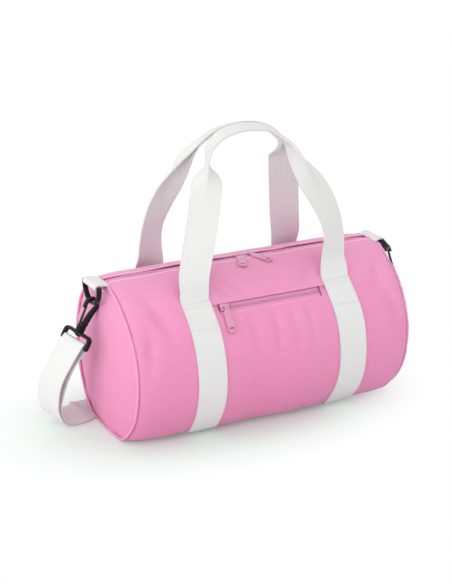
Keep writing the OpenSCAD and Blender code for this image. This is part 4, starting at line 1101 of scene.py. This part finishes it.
# %% [markdown]
# Inside, the pocket is a flat bag of thin cloth behind the front panel, and each end seam is bound
# with a narrow tape. Neither is seen, so they could be left out, but the bag couldn't be opened and
# looked into then. The bag of cloth is one sheet that is pressed in between its edges, and the
# binding is a thin flat strip laid round the rim.

# %% Pocket bag and seam bindings
bag_half, bag_foot, bag_top = 75.5, -17, 52.5

def pocket_bag_point(x, angle):
    edge = min(bag_half - abs(x), (angle - bag_foot) * mm_per_degree, (bag_top - angle) * mm_per_degree)
    return bare(x, angle, 2.6 + 5.2 * ease(edge, 0, 7))

bag_sheet = lay(between(-bag_half, bag_half, 2.5), between(bag_foot, bag_top, 1.6), pocket_bag_point,
                drum_measure)
face_away(bag_sheet, on_axis(0))
thicken(piece(bag_sheet, "pocket_bag", lining_fabric, replaces=["pocket_lining"]), 0.6)

# Each corner of the binding's section: how far in from the rim, and how far in from the end.
binding_corners = [(1.8, 0.15), (10.8, 0.15), (10.8, 1.35), (1.8, 1.35), (1.8, 0.15)]
for side, word in ((-1, "left"), (1, "right")):
    def binding_point(corner, angle):
        inward, along = binding_corners[corner]
        edge = rim(side, angle)
        spot = edge + (on_axis(edge.x) - edge).normalized() * inward
        return Vector((edge.x - side * along, spot.y, max(spot.z, 1.9 + inward * 0.1)))
    shape = lay(list(range(5)), rim_angles, binding_point, lambda c, a: (c * 4, a * mm_per_degree))
    weld(shape)
    binding = piece(shape, word + "_binding", lining_fabric, replaces=[word + "_seam_binding"])
    round_edges(binding, 0.3)

# %% [markdown]
# The sliders and the strap's adjuster are small castings whose shape comes from the frame. They
# could be modelled again, but the frame has them to a tenth of a millimetre, and they have to fit
# what they slide on. So a copy of the frame's mesh is merged, its flat faces are joined up, and its
# edges are softened.

# %% Small castings
def casting(node, name, material, width):
    """A copy of a frame part with soft edges, in place of the part itself."""
    shape = bmesh.new()
    shape.from_mesh(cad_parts[node].data)
    bmesh.ops.remove_doubles(shape, verts=shape.verts[:], dist=0.000002)
    bmesh.ops.dissolve_limit(shape, angle_limit=math.radians(3), verts=shape.verts[:], edges=shape.edges[:])
    round_edges(piece(shape, name, material, body=node, replaces=[node]), width)

for word in ("main_slider_left", "main_slider_right", "pocket_slider"):
    casting(word, word + "_cast", enamel, 0.25)
casting("strap_adjuster", "strap_slider_bar", black_plastic, 0.5)

# %% [markdown]
# A puller is a flat enamelled tab with a long hole near its round end, and a knuckle that turns on
# the slider's bar. The hole could be cut with a boolean, but that leaves long thin faces. Here the
# outline and the hole are two closed loops, one operator fills the face between them, another
# gives it its thickness, and a bevel softens it.

# %% Pullers
puller_length, puller_width, puller_thickness = 34.0, 10.5, 1.3

def closed_loop(shape, points):
    corners = [shape.verts.new(Vector((x, y, 0)) * mm) for x, y in points]
    return [shape.edges.new((a, b)) for a, b in zip(corners, corners[1:] + corners[:1])]

def arc(x, y, radius, start, end, step=15):
    return [(x + radius * math.cos(math.radians(t)), y + radius * math.sin(math.radians(t)))
            for t in between(start, end, step)]

def puller_plate():
    """The plate hangs along -Y from the slider's bar."""
    half, corner, foot, shoulder_y, shoulder = puller_width / 2, 3.6, -puller_length, -8.2, 2.8
    hole_y, hole_radius, hole_half = foot + 5.2, 1.55, 1.9
    outline = arc(half - corner, foot + corner, corner, 0, -90)
    outline += arc(corner - half, foot + corner, corner, -90, -180) + [(-half + 0.5, -13)]
    outline += arc(-half + 3.0, shoulder_y, shoulder, 180, 110)
    outline += [(-1.7, -3.6), (-1.5, -1.6), (1.5, -1.6), (1.7, -3.6)]
    outline += arc(half - 3.0, shoulder_y, shoulder, 70, 0) + [(half - 0.5, -13)]
    hole = arc(hole_half, hole_y, hole_radius, -90, 90) + arc(-hole_half, hole_y, hole_radius, 90, 270)
    shape = bmesh.new()
    edges = closed_loop(shape, outline) + closed_loop(shape, hole)
    bmesh.ops.triangle_fill(shape, edges=edges, use_beauty=True)
    bmesh.ops.recalc_face_normals(shape, faces=shape.faces[:])
    return shape

def puller_piece(word, place, skew):
    """A puller at a slider's bar, turned sideways by its skew and lifted off the cloth by its hang."""
    plate = puller_plate()
    bmesh.ops.solidify(plate, geom=plate.faces[:], thickness=puller_thickness * mm)
    low = min(v.co.z for v in plate.verts)
    move(plate, Matrix.Rotation(math.radians(skew), 4, "Z")
         @ Matrix.Translation((0, 0, -low - puller_thickness / 2 * mm)))
    bore, skin, half = 0.82, 1.72, 2.1
    knuckle = turned_part([(bore, -half), (skin, -half), (skin, half), (bore, half), (bore, -half)], 20)
    move(knuckle, Matrix.Rotation(math.pi / 2, 4, "Y"))
    hang = Matrix.Rotation(math.radians(6.5), 4, "X")
    made = piece(move(join(plate, knuckle), place @ hang), word + "_tab", enamel,
                 body=word, replaces=[word])
    round_edges(made, 0.3)

main_bar, pocket_bar = 199.87, drum_radius - 1.65 + 4.82
for word, x, skew in (("main_puller_left", -0.25, -22), ("main_puller_right", 12.25, 30)):
    puller_piece(word, Matrix.Translation(Vector((x, 0, main_bar)) * mm), skew)
down_front = Matrix.Rotation(math.radians(90 - pocket_angle), 4, "X")
puller_piece("pocket_puller", Matrix.Translation(on_axis(-63.5) * mm) @ down_front
             @ Matrix.Translation((0, 0, pocket_bar * mm)), 0)

# %% [markdown]
# Stitches are short rounded dashes of yarn that lie half in the cloth. A dashed texture would do
# from far off, but real dashes catch the light and keep their place in every view. They are small
# blocks along a line, like the teeth. Close stitches make the bars that end the pocket.

# %% Stitches
def stitch_line(shape, points, pitch, half_length_of_one, half_width):
    """Adds dashes along a line of (point, outward) pairs."""
    travelled, target = 0.0, pitch / 2
    for (a, out), (b, _) in zip(points, points[1:]):
        step = (b - a).length
        while step > 0 and travelled + step >= target:
            t = (target - travelled) / step
            small_bar(shape, a.lerp(b, t), b - a, out, (half_length_of_one, half_width, half_width * 0.7))
            target += pitch
        travelled += step

def drum_line(places, lift):
    """Points and outward directions along (x, angle) places on the fabric."""
    line = []
    for x, angle in places:
        here = on_drum(x, angle, lift)
        line.append((here, on_drum(x, angle, lift + 1) - here))
    return line

def strap_line(word, places):
    """The same on a body strap, along (way across, angle) places."""
    above = strap_gap + web_thickness + 0.05
    return [(strap_point(word, s, a, above),
             strap_point(word, s, a, above + 1) - strap_point(word, s, a, above)) for s, a in places]

def stitched(shape, name, material):
    round_edges(piece(shape, name, material), 0.12, 1)

zip_rows = bmesh.new()
beside = zip_gap_angle + math.degrees(4.7 / drum_radius)
for angle in (90 - beside, -270 + beside):
    stitch_line(zip_rows, drum_line([(x, angle) for x in between(-187, 187, 4)], 0.15), 2.9, 1.0, 0.5)
stitched(zip_rows, "main_zip_stitches", pale_thread)

pocket_rows = bmesh.new()
under, row_end = pocket_low - math.degrees(3.1 / drum_radius), 74
level = drum_line([(x, under) for x in between(-row_end, row_end, 2)], 0.08)
stitch_line(pocket_rows, level, 2.6, 0.95, 0.3)
for x in (-row_end, row_end):
    upright = drum_line([(x, a) for a in between(under, pocket_top, 0.4)], 0.08)
    stitch_line(pocket_rows, upright, 2.0, 0.8, 0.25)
stitched(pocket_rows, "pocket_stitches", fabric_thread)

tacks = bmesh.new()
for x, low, high in ((71.2, under + 0.2, pocket_top + 0.3), (70.6, under + 0.6, pocket_top),
                     (-71.6, under + 0.4, pocket_top)):
    stitch_line(tacks, drum_line([(x, a) for a in between(low, high, 0.3)], 0.1), 0.9, 0.4, 0.45)
stitched(tacks, "pocket_bar_tacks", dark_thread)

strap_rows, box_half, box_foot, box_top = bmesh.new(), 16.5, 31.0, 46.6
for word in ("left", "right"):
    for angle in (49.2, box_top, box_foot):
        across = strap_line(word, [(s, angle) for s in between(-box_half, box_half, 1.5)])
        stitch_line(strap_rows, across, 2.6, 0.95, 0.32)
    for s in (-box_half, box_half):
        upright = strap_line(word, [(s, a) for a in between(box_foot, box_top, 0.8)])
        stitch_line(strap_rows, upright, 2.6, 0.95, 0.25)
stitched(strap_rows, "strap_stitches", white_thread_with_painted_shade)

# %% [markdown]
# The bag stands on a white floor that has no edge. In a studio that is a long sheet of paper under
# strong lamps. Strong lamps would also bleach the white webbing, so here the light stays plain and
# the floor changes instead: near the bag it shows the shadow, and further off it turns into plain
# white for the camera.

# %% Floor
seen_by = ("Is Camera Ray", "Is Glossy Ray", "Is Transmission Ray")

def studio_floor():
    """Paper for the lamps, and from a hand's breadth beside the bag plain white for the camera."""
    finish = Finish("floor", Roughness=0.9, Specular_IOR_Level=0.1)
    x, y, _ = finish.parts(finish.place())
    from_middle = x + 0.05
    away = (from_middle * from_middle * 0.4 + y * y) ** 0.5
    path = [finish.node("ShaderNodeLightPath", {}, [], name) for name in seen_by]
    seen = (path[0] + path[1] + path[2]).clamp()
    # As seen by the camera and in reflections, the floor is painted green-grey, which cancels the pink
    # light that the bag throws on it. For all other rays it is plain pale grey.
    finish.set(Base_Color=finish.mix(seen, (0.86, 0.86, 0.86, 1), (0.73, 0.875, 0.80, 1)))
    glow = finish.node("ShaderNodeEmission", {}, {"Color": (1, 1, 1, 1), "Strength": 1.0}, "Emission")
    surface = Wire(finish, finish.shader.outputs[0])
    share = (away.steps(0.09, 0.21) * 0.84 + 0.16) * seen
    mixed = finish.node("ShaderNodeMixShader", {}, [share, surface, glow], "Shader")
    finish.tree.links.new(mixed.socket, finish.tree.nodes["Material Output"].inputs["Surface"])
    return finish.material

floor_shape = bmesh.new()
bmesh.ops.create_grid(floor_shape, x_segments=1, y_segments=1, size=6)
floor_mesh = bpy.data.meshes.new("floor")
floor_shape.to_mesh(floor_mesh)
floor_shape.free()
floor_mesh.materials.append(studio_floor())
studio = bpy.data.objects.new("floor", floor_mesh)
bpy.context.scene.collection.objects.link(studio)
print("floor", floor_mesh.materials[0].name)

# %% [markdown]
# A bright room fills the shadows, as white walls do in a studio. A picture of a room could light
# the bag instead, but cloth shows no reflections that would need one, and what the camera sees
# behind the bag has to stay plain white. A key lamp stands at the upper left, a wide one lights the
# near end, and two weak ones lift the front and the top.

# %% Room and lamps
world = bpy.context.scene.world or bpy.data.worlds.new("world")
bpy.context.scene.world = world
world.use_nodes = True
tree = world.node_tree
for node in list(tree.nodes):
    tree.nodes.remove(node)
path, room, white, mix, output = (tree.nodes.new("ShaderNode" + kind) for kind in
                                  ("LightPath", "Background", "Background", "MixShader", "OutputWorld"))
for backdrop, strength in ((room, 0.785), (white, 1.0)):
    backdrop.inputs["Color"].default_value = (1, 1, 1, 1)
    backdrop.inputs["Strength"].default_value = strength
seen = path.outputs[seen_by[0]]
for name in seen_by[1:]:
    add = tree.nodes.new("ShaderNodeMath")
    add.operation, add.use_clamp = "ADD", True
    tree.links.new(seen, add.inputs[0])
    tree.links.new(path.outputs[name], add.inputs[1])
    seen = add.outputs[0]
for link, socket in zip((seen, room.outputs[0], white.outputs[0]), mix.inputs):
    tree.links.new(link, socket)
tree.links.new(mix.outputs[0], output.inputs["Surface"])

def soft_lamp(name, spot, size, power):
    """A square lamp that faces the middle of the bag. Its place and size are in metres."""
    lamp = bpy.data.lights.new(name, "AREA")
    lamp.size, lamp.energy = size, power
    holder = bpy.data.objects.new(name, lamp)
    holder.location = spot
    holder.rotation_euler = (Vector((0, 0, 0.12)) - Vector(spot)).to_track_quat("-Z", "Y").to_euler()
    bpy.context.scene.collection.objects.link(holder)

soft_lamp("key", (-1.1, -1.5, 2.0), 1.0, 8)
soft_lamp("left", (-2.3, -0.4, 0.6), 2.0, 26)
soft_lamp("front", (1.1, -2.1, 0.5), 1.0, 4.5)
soft_lamp("top", (0.5, 0.2, 2.2), 1.6, 6)
